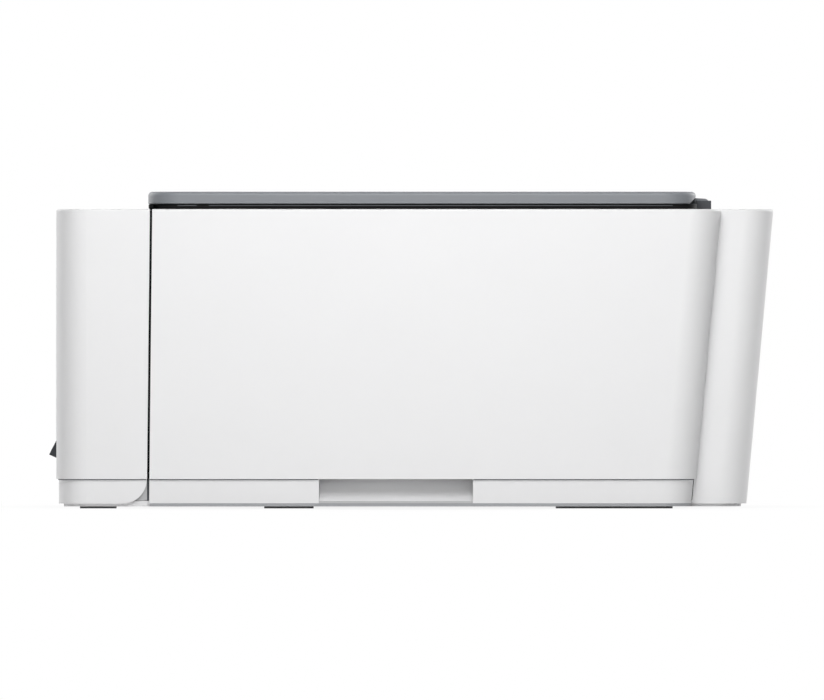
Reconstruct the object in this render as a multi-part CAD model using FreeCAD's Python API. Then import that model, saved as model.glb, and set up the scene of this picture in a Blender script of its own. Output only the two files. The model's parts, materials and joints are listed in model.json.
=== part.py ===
import FreeCAD, Part
import math
import os

# A low ink-tank printer with a flatbed scanner, in millimetres.
# +X is the right side seen from the front, -Y is the front, +Z is up, Z = 0 is the table.

# Case
WIDTH = 434.7
DEPTH = 361.6
BODY_TOP = 148.7
WALL = 2.5
CORNER_R = 15.0
SHROUD_R = 14.0
EDGE_R = 1.0
LEAN = 5.2
SEAM_LEAN = 0.6
SEAM = 1.2
LIP_REACH = 5.0
CABINET_DEPTH = 46.6
SHROUD_REACH = 26.4
SHROUD_INSET = 18.0
SHROUD_LAP = 1.0
FLOOR_T = 2.7
SKIRT_TOP = 14.6
SKIRT_BOTTOM = 2.4
SKIRT_INSET = 1.3
SKIRT_R = 12.0
LEDGE_W = 8.0
LEDGE_T = 3.0
ROOF_GAP = 1.5

# Clearances
JOIN = 0.2
RUN = 0.4
FIT = 0.05
REST = 0.3
BACKLASH = 0.2
NEAR = 0.01

# Hand-hold pockets in the sides of the base
HOLD_Y = -7.0
HOLD_LENGTH = 76.5
HOLD_DEPTH = 21.5

# Feet and case screws
FOOT_H = 1.0
FOOT_W = 20.0
FOOT_INSET = 10.0
FRONT_FOOT_BACK = 20.8
FRONT_FOOT_L = 18.0
MIDDLE_FOOT_Y = -60.2
MIDDLE_FOOT_L = 24.5
REAR_FOOT_FRONT = 52.9
REAR_FOOT_L = 58.0
SCREW_R = 1.5
SCREW_HEAD_R = 3.0
SCREW_HEAD_T = 1.4
SCREW_LENGTH = 9.0
SCREW_X = 150.0
SCREW_Y = 118.0
BOSS_R = 4.0

# Front opening, output tray and its extender
BAY_SIDE = 75.35
BAY_MARGIN = 3.4
BAY_BOTTOM = 23.5
BAY_TOP = 75.0
TRAY_BOTTOM = 26.0
TRAY_T = 2.0
TRAY_LENGTH = 152.0
TRAY_SIDE_GAP = 4.0
TRAY_RIM_W = 2.5
TRAY_RIM_H = 4.0
EXTENDER_LENGTH = 108.0
LIP_TOP = 36.0
LIP_BOTTOM = 24.1
LIP_NOSE_TOP = 28.5
LIP_NOSE_BOTTOM = 26.3
LIP_BACK = 2.6
LIP_CHIN = 1.0
RAIL_W = 4.0
RAIL_LENGTH = 105.0

# Ink tanks, caps, window and tank lid
TANK_FLOOR_T = 2.5
TANK_H = 101.0
TANK_WALL = 1.5
TANK_GAP = 2.0
TANK_DEPTH = 36.0
TANK_SIDE = 7.0
BLACK_TANK_W = 44.0
COLOUR_TANK_W = 22.0
COLOUR_TANKS = 3
NECK_R = 5.5
NECK_BORE_R = 4.0
NECK_H = 4.0
CAP_W = 15.0
CAP_T = 3.0
CAP_REACH = 18.0
CAP_PIN_R = 0.8
CAP_EAR_T = 1.6
CAP_EAR_L = 4.0
CAP_PIN_BACK = 3.0
CAP_PLUG_GAP = 1.0
CAP_PLUG_H = 0.8
NECK_SETBACK = 10.0
WINDOW_BOTTOM = 35.0
WINDOW_TOP = 120.0
WINDOW_MARGIN = 4.0
WINDOW_T = 2.0
WINDOW_FLANGE = 3.0
TANK_LID_SIDE = 8.0
TANK_LID_MARGIN = 5.0
FLAP_PIN_R = 0.7
FLAP_PIN_REACH = 3.0

# Control panel and buttons
PANEL_SIDE = 21.35
PANEL_TANK_GAP = 21.85
PANEL_MARGIN = 7.0
PANEL_SINK = 0.6
PANEL_FLANGE = 3.0
PANEL_FLANGE_T = 2.0
BUTTON_R = 5.0
POWER_R = 6.5
BUTTON_COLLAR = 1.4
BUTTON_COLLAR_T = 2.0
BUTTON_TRAVEL = 1.0
BUTTON_EDGE = 0.4
POST_R = 2.0
POWER_INSET = 20.0
KEYS_INSET = 110.0
KEY_PITCH = 26.0

# Scanner bed, deck, glass and scan bar
DECK_T = 2.5
DECK_SIDE_INSET = 4.0
DECK_FRONT_GAP = 0.5
BED_HEIGHT = 30.7
BED_SIDE_GAP = 4.0
BED_FRONT_GAP = 3.0
GLASS_T = 3.0
GLASS_LENGTH = 305.0
GLASS_BACK_MARGIN = 35.0
GLASS_LAP = 6.0
BAR_W = 18.0
BAR_H = 15.0
BAR_GAP = 1.0
SCAN_RAIL_R = 3.0
SCAN_RAIL_RISE = 7.0
SADDLE_T = 2.0
BAR_PARK = 38.35
LIFT_PIN_R = 1.8
LIFT_DROP = 3.7
LIFT_EAR_R = 3.2
LIFT_EAR_T = 5.0
LIFT_EAR_GAP = 1.0

# Document cover and its hinges
LID_GAP = 0.3
LID_T = 5.9
LID_TOP_T = 2.5
LID_RIM = 6.0
LID_SIDE_INSET = 3.0
LID_R = 15.0
LID_EDGE_R = 2.0
LID_CHAMFER = 3.0
LID_OVERHANG = 0.9
LID_BACK_GAP = 12.4
PAD_GAP = 3.0
PAD_LIFT = 0.3
HINGE_INSET = 38.0
HINGE_W = 40.0
HINGE_DEPTH = 7.5
HINGE_TOP = 1.9
HINGE_DROP = 10.0
HINGE_PIN_R = 1.5
KNUCKLE_R = 3.0
KNUCKLE_GAP = 1.0
TAB_W = 11.0
TAB_REACH = 12.5

# Paper input
SLOT_HALF = 112.0
SLOT_WALL = 4.0
SUPPORT_T = 2.0
SUPPORT_W = 200.0
SUPPORT_L = 100.0
FLAP_BACK_GAP = 0.8
FLAP_FINGER_L = 5.0
FLAP_FINGER_H = 0.8
FLAP_FINGER_W = 40.0
RAMP_TOP_DROP = 5.5
RAMP_TOP_BACK = 2.0
RAMP_T = 2.5
RAMP_FOOT_Y = 62.8
RAMP_FOOT_Z = 46.0
TOE_GAP = 3.0
CHEEK_T = 2.5
GUIDE_INSET = 4.0
GUIDE_T = 4.0
GUIDE_H = 12.0
GUIDE_L = 46.0
GUIDE_U = 56.0
GUIDE_TRAVEL = 54.0
RACK_W = 4.0
RACK_T = 4.0
RACK_SPARE = 2
GUIDE_PINION_TEETH = 16
GUIDE_PIN_R = 2.0
GUIDE_FOOT = 14.0
STEM_L = 6.0
TOE_DROP = 2.0
CHEEK_SHARE = 0.8
MODULE = 1.0
DEDENDUM = 1.25
PRESSURE = math.radians(20.0)
FLANK_STEPS = 3

# Print engine
CHASSIS_INSET = 29.35
CHASSIS_T = 1.5
CHASSIS_FRONT = 211.0
CHASSIS_TOP = 112.0
CHASSIS_SLOPE = 40.0
BEAM_Y = 90.8
BEAM_BOTTOM = 60.0
ARM_W = 6.7
ARM_GAP = 1.8
ARM_BOTTOM = 98.0
FEED_Y = 110.8
FEED_Z = 48.0
FEED_R = 6.0
JOURNAL_R = 3.0
ROLLER_STATION_GAP = 1.0
ROD_Y = 112.8
ROD_Z = 88.0
ROD_R = 4.0
ROD_BACK = 10.0
CARRIAGE_W = 70.0
CARRIAGE_DEPTH = 60.0
CARRIAGE_BOTTOM = 58.0
CARRIAGE_TOP = 108.0
CARRIAGE_STEP = 70.0
CARRIAGE_NOSE = 8.0
CARRIAGE_PARK = 3.0
HEAD_W = 50.0
HEAD_L = 30.0
HEAD_T = 2.5
HEAD_BACK = 7.0
PULLEY_R = 8.0
PULLEY_W = 5.0
PULLEY_Z = 95.0
PULLEY_INSET = 24.0
FLANGE_R = 9.8
FLANGE_T = 0.8
PULLEY_SHAFT_R = 1.5
BELT_T = 1.2
BELT_GAP = 0.25
BELT_SETBACK = 2.0
CLIP_W = 12.0
CLIP_SHIFT = 20.0
CLIP_GAP = 0.5
CLIP_T = 2.0
STRIP_T = 0.4
STRIP_H = 6.0
STRIP_Z = 100.0
STRIP_SLOT = 1.2
STRIP_BACK = 3.0
MOTOR_R = 13.0
MOTOR_L = 26.0
PLATEN_RIB = 4.0
PLATEN_T = 4.0
PLATEN_RIBS = 9
PLATEN_RIB_W = 2.0
PLATEN_LEG = 4.0

# Gear train and rollers
FEED_TEETH = 48
IDLER_TEETH = 41
EXIT_TEETH = 40
PINION_TEETH = 12
PICK_TEETH = 52
GEAR_T = 5.0
GEAR_GAP = 1.5
PINION_ANGLE = -120.0
PINCH_R = 4.0
PINCH_AXLE_R = 1.5
PINCH_COUNT = 4
PINCH_L = 30.0
STAR_R = 5.0
STAR_AXLE_R = 1.2
STAR_COUNT = 8
STAR_T = 1.5
STAR_TIPS = 16
STAR_ROOT = 0.72
NIP = 0.3
ROLLER_GAP = 1.5
PICK_R = 15.0
PICK_W = 34.0
PICK_GAP = 0.5
HOLDER_T = 3.0
HANGER_T = 3.0

# Service station
STATION_W = 68.0
STATION_L = 58.0
STATION_H = 40.0
STATION_GAP = 4.0
STATION_FRONT = 8.0
CAP_DROP = 5.0
CAP_LIP = 2.0

# Electrics and ink tubes
BOARD_T = 1.6
BOARD_W = 140.0
BOARD_H = 76.0
BOARD_X = -30.0
BOARD_Y = 30.0
SUPPLY_W = 60.0
SUPPLY_L = 38.0
SUPPLY_H = 36.0
SUPPLY_X = 75.0
SUPPLY_Y = 20.5
INLET_W = 25.0
INLET_H = 16.0
INLET_Z = 22.0
INLET_DEEP = 6.5
INLET_LOBE_R = 4.6
INLET_PITCH = 8.4
INLET_PIN_R = 1.2
DATA_W = 14.0
DATA_H = 12.0
DATA_BORE_W = 8.6
DATA_BORE_H = 7.9
DATA_TONGUE_W = 4.3
DATA_TONGUE_H = 2.5
DATA_X = -70.0
DATA_Z = 21.0
TUBE_R = 1.5
TUBE_PITCH = 4.0
TUBE_Z = 25.0
TUBE_BEND = 8.0
TUBE_LEAD = 6.0
JOINT_L = 6.0

# Derived places
half_w = WIDTH / 2
y_front = -DEPTH / 2 + LIP_REACH
y_back = DEPTH / 2
lean_slope = math.tan(math.radians(LEAN))
seam_slope = math.tan(math.radians(SEAM_LEAN))
cabinet_back = y_front + CABINET_DEPTH
panel_front = cabinet_back + SEAM
panel_back = y_back - SHROUD_REACH
front_foot_y = y_front + FRONT_FOOT_BACK
rear_foot_y = panel_back - REAR_FOOT_FRONT
shroud_half = half_w - SHROUD_INSET
floor_top = FOOT_H + FLOOR_T
deck_top = BODY_TOP + DECK_T
lid_bottom = deck_top + LID_GAP
lid_top = lid_bottom + LID_T
lid_front = cabinet_back - LID_OVERHANG
lid_back = panel_back - LID_BACK_GAP
bed_bottom = BODY_TOP - BED_HEIGHT
bed_front = panel_front + BED_FRONT_GAP
bed_back = lid_back + DECK_FRONT_GAP
bed_half = half_w - WALL - BED_SIDE_GAP
hinge_y = bed_back + KNUCKLE_R + KNUCKLE_GAP
hinge_z = deck_top
lift_z = BODY_TOP - LIFT_DROP
inner_right = half_w - WALL
tank_right = inner_right - TANK_SIDE
tank_left = tank_right - BLACK_TANK_W - COLOUR_TANKS * (COLOUR_TANK_W + TANK_GAP)
tank_front = y_front + WALL + WINDOW_T + RUN
tank_back = tank_front + TANK_DEPTH
tank_bottom = SKIRT_TOP + TANK_FLOOR_T
tank_top = tank_bottom + TANK_H
cap_y = tank_back - CAP_PIN_BACK
cap_z = tank_top + NECK_H + REST + CAP_T / 2
bay_left = -half_w + BAY_SIDE
bay_right = tank_left - TANK_GAP - WALL - BAY_MARGIN
panel_left = -half_w + PANEL_SIDE
panel_right = tank_left - PANEL_TANK_GAP
power_x = panel_left + POWER_INSET
first_key_x = panel_right - KEYS_INSET
tray_left = bay_left + TRAY_SIDE_GAP
tray_right = bay_right - TRAY_SIDE_GAP
lip_back = y_front + LIP_BACK
plate_z = BODY_TOP - WALL / 2
glass_front = bed_front + WALL + GLASS_LAP + BAR_GAP
glass_width = bed_back - GLASS_BACK_MARGIN - glass_front
support_front = y_back - WALL - RUN - SUPPORT_T
flap_y = support_front - FLAP_BACK_GAP - WALL / 2
ramp_foot = (y_back - RAMP_FOOT_Y, RAMP_FOOT_Z)
ramp_top = (flap_y - RAMP_TOP_BACK, BODY_TOP - RAMP_TOP_DROP)
ramp_length = math.dist(ramp_foot, ramp_top)
ramp_angle = math.atan2(ramp_top[1] - ramp_foot[1], ramp_top[0] - ramp_foot[0])
chassis_half = half_w - CHASSIS_INSET
chassis_out = chassis_half + CHASSIS_T
hinge_x = chassis_half - HINGE_INSET
feed_y = y_back - FEED_Y
rod_line = y_back - ROD_Y
beam_front = y_back - BEAM_Y
beam_back = beam_front + CHASSIS_T
idler_y = feed_y - MODULE * (FEED_TEETH + IDLER_TEETH) / 2
exit_y = idler_y - MODULE * (IDLER_TEETH + EXIT_TEETH) / 2
gear_inner = -chassis_out - GEAR_GAP
gear_outer = gear_inner - GEAR_T
nip_z = FEED_Z + FEED_R
pulley_x = chassis_half - PULLEY_INSET
carriage_back = rod_line + ROD_BACK
carriage_right = chassis_half - CARRIAGE_PARK
carriage_x = carriage_right - CARRIAGE_W / 2
belt_front = carriage_back + BELT_SETBACK
belt_radius = PULLEY_R + BELT_GAP
head_bottom = CARRIAGE_BOTTOM - HEAD_T
pinion_turn = math.radians(PINION_ANGLE)
pinion_reach = MODULE * (FEED_TEETH + PINION_TEETH) / 2
pinion_place = (feed_y + pinion_reach * math.cos(pinion_turn), FEED_Z + pinion_reach * math.sin(pinion_turn))
station_right = chassis_half - STATION_GAP
station_left = station_right - STATION_W
roller_half = station_left - ROLLER_STATION_GAP
panel_low = BODY_TOP - WALL - PANEL_FLANGE_T
post_h = 2 * REST + BUTTON_COLLAR_T + BUTTON_TRAVEL
glass_half = GLASS_LENGTH / 2


def vec(x, y, z):
    return FreeCAD.Vector(x, y, z)


def lean_at(z):
    """How far the leaning back faces stand forward of their top edge at height z."""
    return (z - BODY_TOP) * lean_slope


def seam_at(z):
    """How far the seam stands forward of its top end at height z."""
    return (z - BODY_TOP) * seam_slope


def box(x0, x1, y0, y1, z0, z1):
    return Part.makeBox(x1 - x0, y1 - y0, z1 - z0, vec(x0, y0, z0))


def rod_x(x0, x1, y, z, radius):
    return Part.makeCylinder(radius, x1 - x0, vec(x0, y, z), vec(1, 0, 0))


def rod_y(y0, y1, x, z, radius):
    return Part.makeCylinder(radius, y1 - y0, vec(x, y0, z), vec(0, 1, 0))


def rod_z(z0, z1, x, y, radius):
    return Part.makeCylinder(radius, z1 - z0, vec(x, y, z0), vec(0, 0, 1))


def prism_x(points, x0, x1):
    """A (y, z) outline drawn along X."""
    corners = [vec(x0, y, z) for y, z in points]
    return Part.Face(Part.makePolygon(corners + corners[:1])).extrude(vec(x1 - x0, 0, 0))


def prism_z(points, z0, z1):
    """An (x, y) outline drawn along Z."""
    corners = [vec(x, y, z0) for x, y in points]
    return Part.Face(Part.makePolygon(corners + corners[:1])).extrude(vec(0, 0, z1 - z0))


def joined(first, *others):
    return first.fuse(list(others)).removeSplitter()


def mirrored(shape):
    return shape.mirror(vec(0, 0, 0), vec(1, 0, 0))


def round_edges(solid, radius, chosen):
    """Round the edges whose middle point passes the test."""
    return solid.makeFillet(radius, [edge for edge in solid.Edges if chosen(edge.CenterOfMass)])


def near(value, target):
    return abs(value - target) < NEAR


def cabinet_block(inset, top, bottom):
    """The front cabinet's outer form, or its hollow when inset by the wall."""
    half = half_w - inset
    front = y_front + inset
    points = [(front, bottom), (front, top)]
    points += [(cabinet_back + seam_at(top), top), (cabinet_back + seam_at(bottom), bottom)]
    solid = prism_x(points, -half, half)
    middle = (top + bottom) / 2
    return round_edges(solid, CORNER_R - inset, lambda c: near(c.y, front) and near(c.z, middle))


def panel_block(inset, top, bottom, front_gap):
    """The body behind the seam, with its leaning back corners rounded."""
    half = half_w - inset
    front = panel_front + front_gap
    back = panel_back - inset
    points = [(front + seam_at(bottom), bottom), (front + seam_at(top), top)]
    points += [(back + lean_at(top), top), (back + lean_at(bottom), bottom)]
    solid = prism_x(points, -half, half)
    middle = (top + bottom) / 2
    back_middle = back + lean_at(middle)
    return round_edges(solid, CORNER_R - inset, lambda c: near(c.y, back_middle) and near(c.z, middle))


def shroud_block(inset, top, bottom, front):
    """The rear shroud's outer form, or its hollow when inset by the wall."""
    half = shroud_half - inset
    back = y_back - inset
    points = [(front + lean_at(bottom), bottom), (front + lean_at(top), top)]
    points += [(back + lean_at(top), top), (back + lean_at(bottom), bottom)]
    solid = prism_x(points, -half, half)
    middle = (top + bottom) / 2
    back_middle = back + lean_at(middle)
    return round_edges(solid, SHROUD_R - inset, lambda c: near(c.y, back_middle) and near(c.z, middle))


def round_top(solid, skip_y):
    """Round the outer top edge, leaving the edge that lies on the seam or slot side."""
    return round_edges(solid, EDGE_R, lambda c: near(c.z, BODY_TOP) and not near(c.y, skip_y))


def hold_span():
    return HOLD_Y - HOLD_LENGTH / 2, HOLD_Y + HOLD_LENGTH / 2


def screw_places():
    return [(x, y) for x in (-SCREW_X, SCREW_X) for y in (-SCREW_Y, SCREW_Y)]


def hold_pocket():
    """The right-hand pocket's walls, and the hollow that is cut through them."""
    y0, y1 = hold_span()
    outer = half_w - SKIRT_INSET
    inner = outer - HOLD_DEPTH
    roof = SKIRT_TOP + WALL
    walls = box(inner - WALL, outer, y0 - WALL, y1 + WALL, FOOT_H, SKIRT_TOP)
    lid = box(inner - WALL, inner_right - JOIN, y0 - WALL, y1 + WALL, SKIRT_TOP, roof)
    hollow = box(inner, half_w, y0, y1, floor_top, SKIRT_TOP)
    return walls, lid, hollow


def base_pan():
    """Floor, side skirts, hand-hold pockets, tray rails and screw bosses in one moulding."""
    edge = half_w - SKIRT_INSET
    front = y_front + SKIRT_INSET + WALL
    back = panel_back + lean_at(SKIRT_TOP)
    floor = box(-edge + WALL, edge - WALL, front, back - CORNER_R, FOOT_H, floor_top)
    floor = round_edges(floor, CORNER_R - SKIRT_INSET - WALL,
                        lambda c: near(c.y, front) and near(c.z, (FOOT_H + floor_top) / 2))
    tail_half = shroud_half - WALL
    tail = y_back - WALL - REST + lean_at(SKIRT_BOTTOM)
    tail_floor = box(-tail_half, tail_half, back - 2 * CORNER_R, tail, FOOT_H, floor_top)
    tail_floor = round_edges(tail_floor, SHROUD_R,
                             lambda c: near(c.y, tail) and near(c.z, (FOOT_H + floor_top) / 2))
    skirt = panel_block(SKIRT_INSET, SKIRT_TOP, SKIRT_BOTTOM, 0.0)
    skirt = skirt.cut(panel_block(SKIRT_INSET + WALL, SKIRT_TOP + WALL, floor_top, -WALL))
    skirt = skirt.cut(box(-shroud_half, shroud_half, back - CORNER_R, y_back, SKIRT_BOTTOM, SKIRT_TOP))
    pan = joined(floor, tail_floor, skirt)
    walls, roof, hollow = hold_pocket()
    pan = joined(pan, walls, roof, mirrored(walls), mirrored(roof))
    pan = pan.cut([hollow, mirrored(hollow)])
    rail_top = TRAY_BOTTOM - REST
    for x in (tray_left, tray_right - RAIL_W):
        pan = joined(pan, box(x, x + RAIL_W, panel_front, panel_front + RAIL_LENGTH, FOOT_H, rail_top))
    for x, y in screw_places():
        pan = joined(pan, rod_z(FOOT_H, floor_top + SCREW_LENGTH, x, y, BOSS_R))
        pan = pan.cut(rod_z(FOOT_H, floor_top + SCREW_LENGTH, x, y, SCREW_R + FIT))
        pan = pan.cut(rod_z(FOOT_H, FOOT_H + SCREW_HEAD_T, x, y, SCREW_HEAD_R + FIT))
    return pan


def case_screws():
    screws = []
    for x, y in screw_places():
        head = rod_z(FOOT_H, FOOT_H + SCREW_HEAD_T, x, y, SCREW_HEAD_R)
        shank = rod_z(FOOT_H + SCREW_HEAD_T, FOOT_H + SCREW_LENGTH, x, y, SCREW_R)
        slot = box(x - SCREW_HEAD_R, x + SCREW_HEAD_R, y - FOOT_H / 2, y + FOOT_H / 2,
                   FOOT_H, FOOT_H + SCREW_HEAD_T / 2)
        screws.append(joined(head, shank).cut(slot))
    return Part.makeCompound(screws)


def rubber_feet():
    outer = half_w - SKIRT_INSET - FOOT_INSET
    feet = []
    lengths = {front_foot_y: FRONT_FOOT_L, MIDDLE_FOOT_Y: MIDDLE_FOOT_L, rear_foot_y: REAR_FOOT_L}
    for y, length in lengths.items():
        pad = box(outer - FOOT_W, outer, y - length / 2, y + length / 2, 0.0, FOOT_H)
        feet += [pad, mirrored(pad)]
    return Part.makeCompound(feet)


def front_skirt():
    """The set-in wall under the front cabinet, with a large round at its lower back corners."""
    outer = cabinet_block(SKIRT_INSET, SKIRT_TOP, SKIRT_BOTTOM)
    hollow = cabinet_block(SKIRT_INSET + WALL, SKIRT_TOP + WALL, -WALL)
    wall = outer.cut(hollow)
    back = cabinet_back + seam_at(SKIRT_BOTTOM)
    corner = box(-half_w, half_w, back - SKIRT_R, back + WALL, SKIRT_BOTTOM - WALL, SKIRT_BOTTOM + SKIRT_R)
    corner = corner.cut(rod_x(-half_w, half_w, back - SKIRT_R, SKIRT_BOTTOM + SKIRT_R, SKIRT_R))
    return wall.cut(corner)


def side_panel():
    """The right side panel: its long wall, its rounded return at the back and the scanner's ledge."""
    outer = round_top(panel_block(0.0, BODY_TOP, SKIRT_TOP, 0.0), panel_front)
    hollow = panel_block(WALL, BODY_TOP + WALL, SKIRT_TOP - WALL, -CORNER_R)
    wall = outer.cut(hollow)
    wall = wall.cut(box(-half_w, shroud_half + JOIN, panel_front - CORNER_R, y_back, 0.0, BODY_TOP + WALL))
    ledge_top = bed_bottom - REST
    ledge = box(inner_right - LEDGE_W, inner_right + JOIN, bed_front, bed_back - CORNER_R,
                ledge_top - LEDGE_T, ledge_top)
    roof = panel_block(0.0, BODY_TOP - EDGE_R, BODY_TOP - EDGE_R - WALL, 0.0)
    roof = roof.common(box(shroud_half + JOIN, half_w, bed_back + ROOF_GAP, y_back, SKIRT_TOP, BODY_TOP))
    return joined(wall, ledge, roof)


def rear_shroud():
    """The leaning back cover with the paper slot in its top and openings for the two sockets."""
    front = panel_back - SHROUD_LAP
    outer = round_top(shroud_block(0.0, BODY_TOP, SKIRT_BOTTOM, front), front)
    hollow = shroud_block(WALL, BODY_TOP - WALL, SKIRT_BOTTOM - WALL, front - WALL)
    cover = outer.cut(hollow)
    slot_front = front + SLOT_WALL
    slot_back = y_back - WALL
    cover = cover.cut(box(-SLOT_HALF, SLOT_HALF, slot_front, slot_back, BODY_TOP - 2 * WALL, BODY_TOP + WALL))
    pin = rod_x(-SLOT_HALF - FLAP_PIN_REACH - RUN, SLOT_HALF + FLAP_PIN_REACH + RUN, flap_y, plate_z,
                FLAP_PIN_R + FIT)
    cover = cover.cut(pin)
    inlet = box(SUPPLY_X - INLET_W / 2 - JOIN, SUPPLY_X + INLET_W / 2 + JOIN, y_back - SHROUD_REACH, y_back,
                INLET_Z - INLET_H / 2 - JOIN, INLET_Z + INLET_H / 2 + JOIN)
    data = box(DATA_X - DATA_W / 2 - JOIN, DATA_X + DATA_W / 2 + JOIN, y_back - SHROUD_REACH, y_back,
               DATA_Z - DATA_H / 2 - JOIN, DATA_Z + DATA_H / 2 + JOIN)
    return cover.cut([inlet, data])


def tank_spans():
    """Left and right faces of the four tanks, the wide black one first."""
    spans = [(tank_left, tank_left + BLACK_TANK_W)]
    for place in range(COLOUR_TANKS):
        left = spans[-1][1] + TANK_GAP
        spans.append((left, left + COLOUR_TANK_W))
    return spans


def window_span():
    return tank_left + WINDOW_MARGIN, half_w - CORNER_R - WINDOW_FLANGE - JOIN


def tank_lid_span():
    return tank_left + TANK_GAP, inner_right - TANK_LID_SIDE


def tank_lid_depth():
    return y_front + TANK_LID_MARGIN, cabinet_back - TANK_LID_MARGIN


def panel_depth():
    return y_front + PANEL_MARGIN, cabinet_back - PANEL_MARGIN


def front_cabinet():
    """The front cover with the tank bay, the paper bay's mouth and the openings in its top."""
    outer = round_top(cabinet_block(0.0, BODY_TOP, SKIRT_TOP), cabinet_back)
    hollow = cabinet_block(WALL, BODY_TOP - WALL, SKIRT_TOP - WALL)
    cover = outer.cut(hollow)
    back = cabinet_back + seam_at(SKIRT_TOP)
    wall_right = tank_left - TANK_GAP
    partition = box(wall_right - WALL, wall_right, y_front + WALL, back, SKIRT_TOP, BODY_TOP - WALL)
    shelf = box(wall_right - WALL, inner_right, y_front + CORNER_R, back, SKIRT_TOP, tank_bottom)
    shelf_front = box(wall_right - WALL, half_w - CORNER_R, y_front + WALL, y_front + CORNER_R,
                      SKIRT_TOP, tank_bottom)
    tunnel = box(bay_left - WALL, bay_right + WALL, y_front + WALL, back, BAY_BOTTOM - WALL, BAY_TOP + WALL)
    cover = joined(cover, partition, shelf, shelf_front, tunnel)
    mouth = box(bay_left, bay_right, y_front - WALL, back, BAY_BOTTOM, BAY_TOP)
    x0, x1 = window_span()
    pane = box(x0, x1, y_front - WALL, y_front + WALL, WINDOW_BOTTOM, WINDOW_TOP)
    x0, x1 = tank_lid_span()
    y0, y1 = tank_lid_depth()
    tank_mouth = box(x0, x1, y0, y1, BODY_TOP - WALL, BODY_TOP + WALL)
    reach = FLAP_PIN_REACH + RUN
    pin_bore = rod_x(x0 - reach, x1 + reach, y1 - RUN - WALL / 2, plate_z, FLAP_PIN_R + FIT)
    y0, y1 = panel_depth()
    panel_mouth = box(panel_left, panel_right, y0, y1, BODY_TOP - WALL, BODY_TOP + WALL)
    return cover.cut([mouth, pane, tank_mouth, pin_bore, panel_mouth])


def tank_window():
    """A clear pane in the front wall with a flange behind it."""
    x0, x1 = window_span()
    pane = box(x0 + JOIN, x1 - JOIN, y_front, y_front + WALL, WINDOW_BOTTOM + JOIN, WINDOW_TOP - JOIN)
    flange = box(x0 - WINDOW_FLANGE, x1 + WINDOW_FLANGE, y_front + WALL, y_front + WALL + WINDOW_T,
                 WINDOW_BOTTOM - WINDOW_FLANGE, WINDOW_TOP + WINDOW_FLANGE)
    return joined(pane, flange)


def ink_tank(x0, x1):
    """A hollow tank with a filler neck and two ears for its cap."""
    middle = (x0 + x1) / 2
    neck_y = cap_y - NECK_SETBACK
    tank = box(x0, x1, tank_front, tank_back, tank_bottom, tank_top)
    tank = joined(tank, rod_z(tank_top, tank_top + NECK_H, middle, neck_y, NECK_R))
    inside = box(x0 + TANK_WALL, x1 - TANK_WALL, tank_front + TANK_WALL, tank_back - TANK_WALL,
                 tank_bottom + TANK_WALL, tank_top - TANK_WALL)
    tank = tank.cut([inside, rod_z(tank_top - NECK_H, tank_top + NECK_H, middle, neck_y, NECK_BORE_R)])
    for side in (-1, 1):
        inner = middle + side * (CAP_W / 2 + RUN)
        outer = inner + side * CAP_EAR_T
        ear = box(min(inner, outer), max(inner, outer), cap_y - CAP_EAR_L / 2, cap_y + CAP_EAR_L / 2,
                  tank_top, cap_z + CAP_T / 2)
        tank = joined(tank, ear)
    return tank.cut(rod_x(x0, x1, cap_y, cap_z, CAP_PIN_R + FIT))


def ink_tanks():
    return Part.makeCompound([ink_tank(x0, x1) for x0, x1 in tank_spans()])


def tank_cap(x0, x1):
    """A flip cap over the filler neck, with its hinge pins."""
    middle = (x0 + x1) / 2
    low = cap_z - CAP_T / 2
    plate = box(middle - CAP_W / 2, middle + CAP_W / 2, cap_y - CAP_REACH, cap_y, low, low + CAP_T)
    barrel = rod_x(middle - CAP_W / 2, middle + CAP_W / 2, cap_y, cap_z, CAP_T / 2)
    reach = CAP_W / 2 + RUN + CAP_EAR_T
    pin = rod_x(middle - reach, middle + reach, cap_y, cap_z, CAP_PIN_R)
    plug = rod_z(low - CAP_PLUG_H, low, middle, cap_y - NECK_SETBACK, NECK_BORE_R - CAP_PLUG_GAP)
    return joined(plate, barrel, pin, plug)


def flush_flap(x0, x1, free_y, pin_y, low):
    """A thin cover that lies flush in a top face and turns on two short pins at its back edge."""
    plate = box(x0, x1, free_y, pin_y, low, low + WALL)
    barrel = rod_x(x0, x1, pin_y, low + WALL / 2, WALL / 2)
    pins = rod_x(x0 - FLAP_PIN_REACH, x1 + FLAP_PIN_REACH, pin_y, low + WALL / 2, FLAP_PIN_R)
    return joined(plate, barrel, pins)


def tank_lid():
    x0, x1 = tank_lid_span()
    y0, y1 = tank_lid_depth()
    return flush_flap(x0 + RUN, x1 - RUN, y0 + RUN, y1 - RUN - WALL / 2, BODY_TOP - WALL)


def button_places():
    """Name, X place and radius of each button."""
    keys = ("wireless_button", "mono_copy_button", "colour_copy_button", "stop_button")
    places = [("power_button", power_x, POWER_R)]
    places += [(name, first_key_x + KEY_PITCH * place, BUTTON_R) for place, name in enumerate(keys)]
    return places


def control_panel():
    """The sunk panel in the cabinet's top, its flange underneath and the button holes."""
    y0, y1 = panel_depth()
    middle = (y0 + y1) / 2
    top = BODY_TOP - PANEL_SINK
    low = BODY_TOP - WALL
    plate = box(panel_left + JOIN, panel_right - JOIN, y0 + JOIN, y1 - JOIN, low, top)
    flange = box(panel_left - PANEL_FLANGE, panel_right + PANEL_FLANGE, y0 - PANEL_FLANGE, y1 + PANEL_FLANGE,
                 panel_low, low)
    panel = joined(plate, flange)
    for x in (panel_left, panel_right):
        panel = joined(panel, rod_z(panel_low - post_h, panel_low, x, middle, POST_R))
    bores = [rod_z(panel_low, BODY_TOP, x, middle, radius + RUN) for name, x, radius in button_places()]
    return panel.cut(bores)


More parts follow.
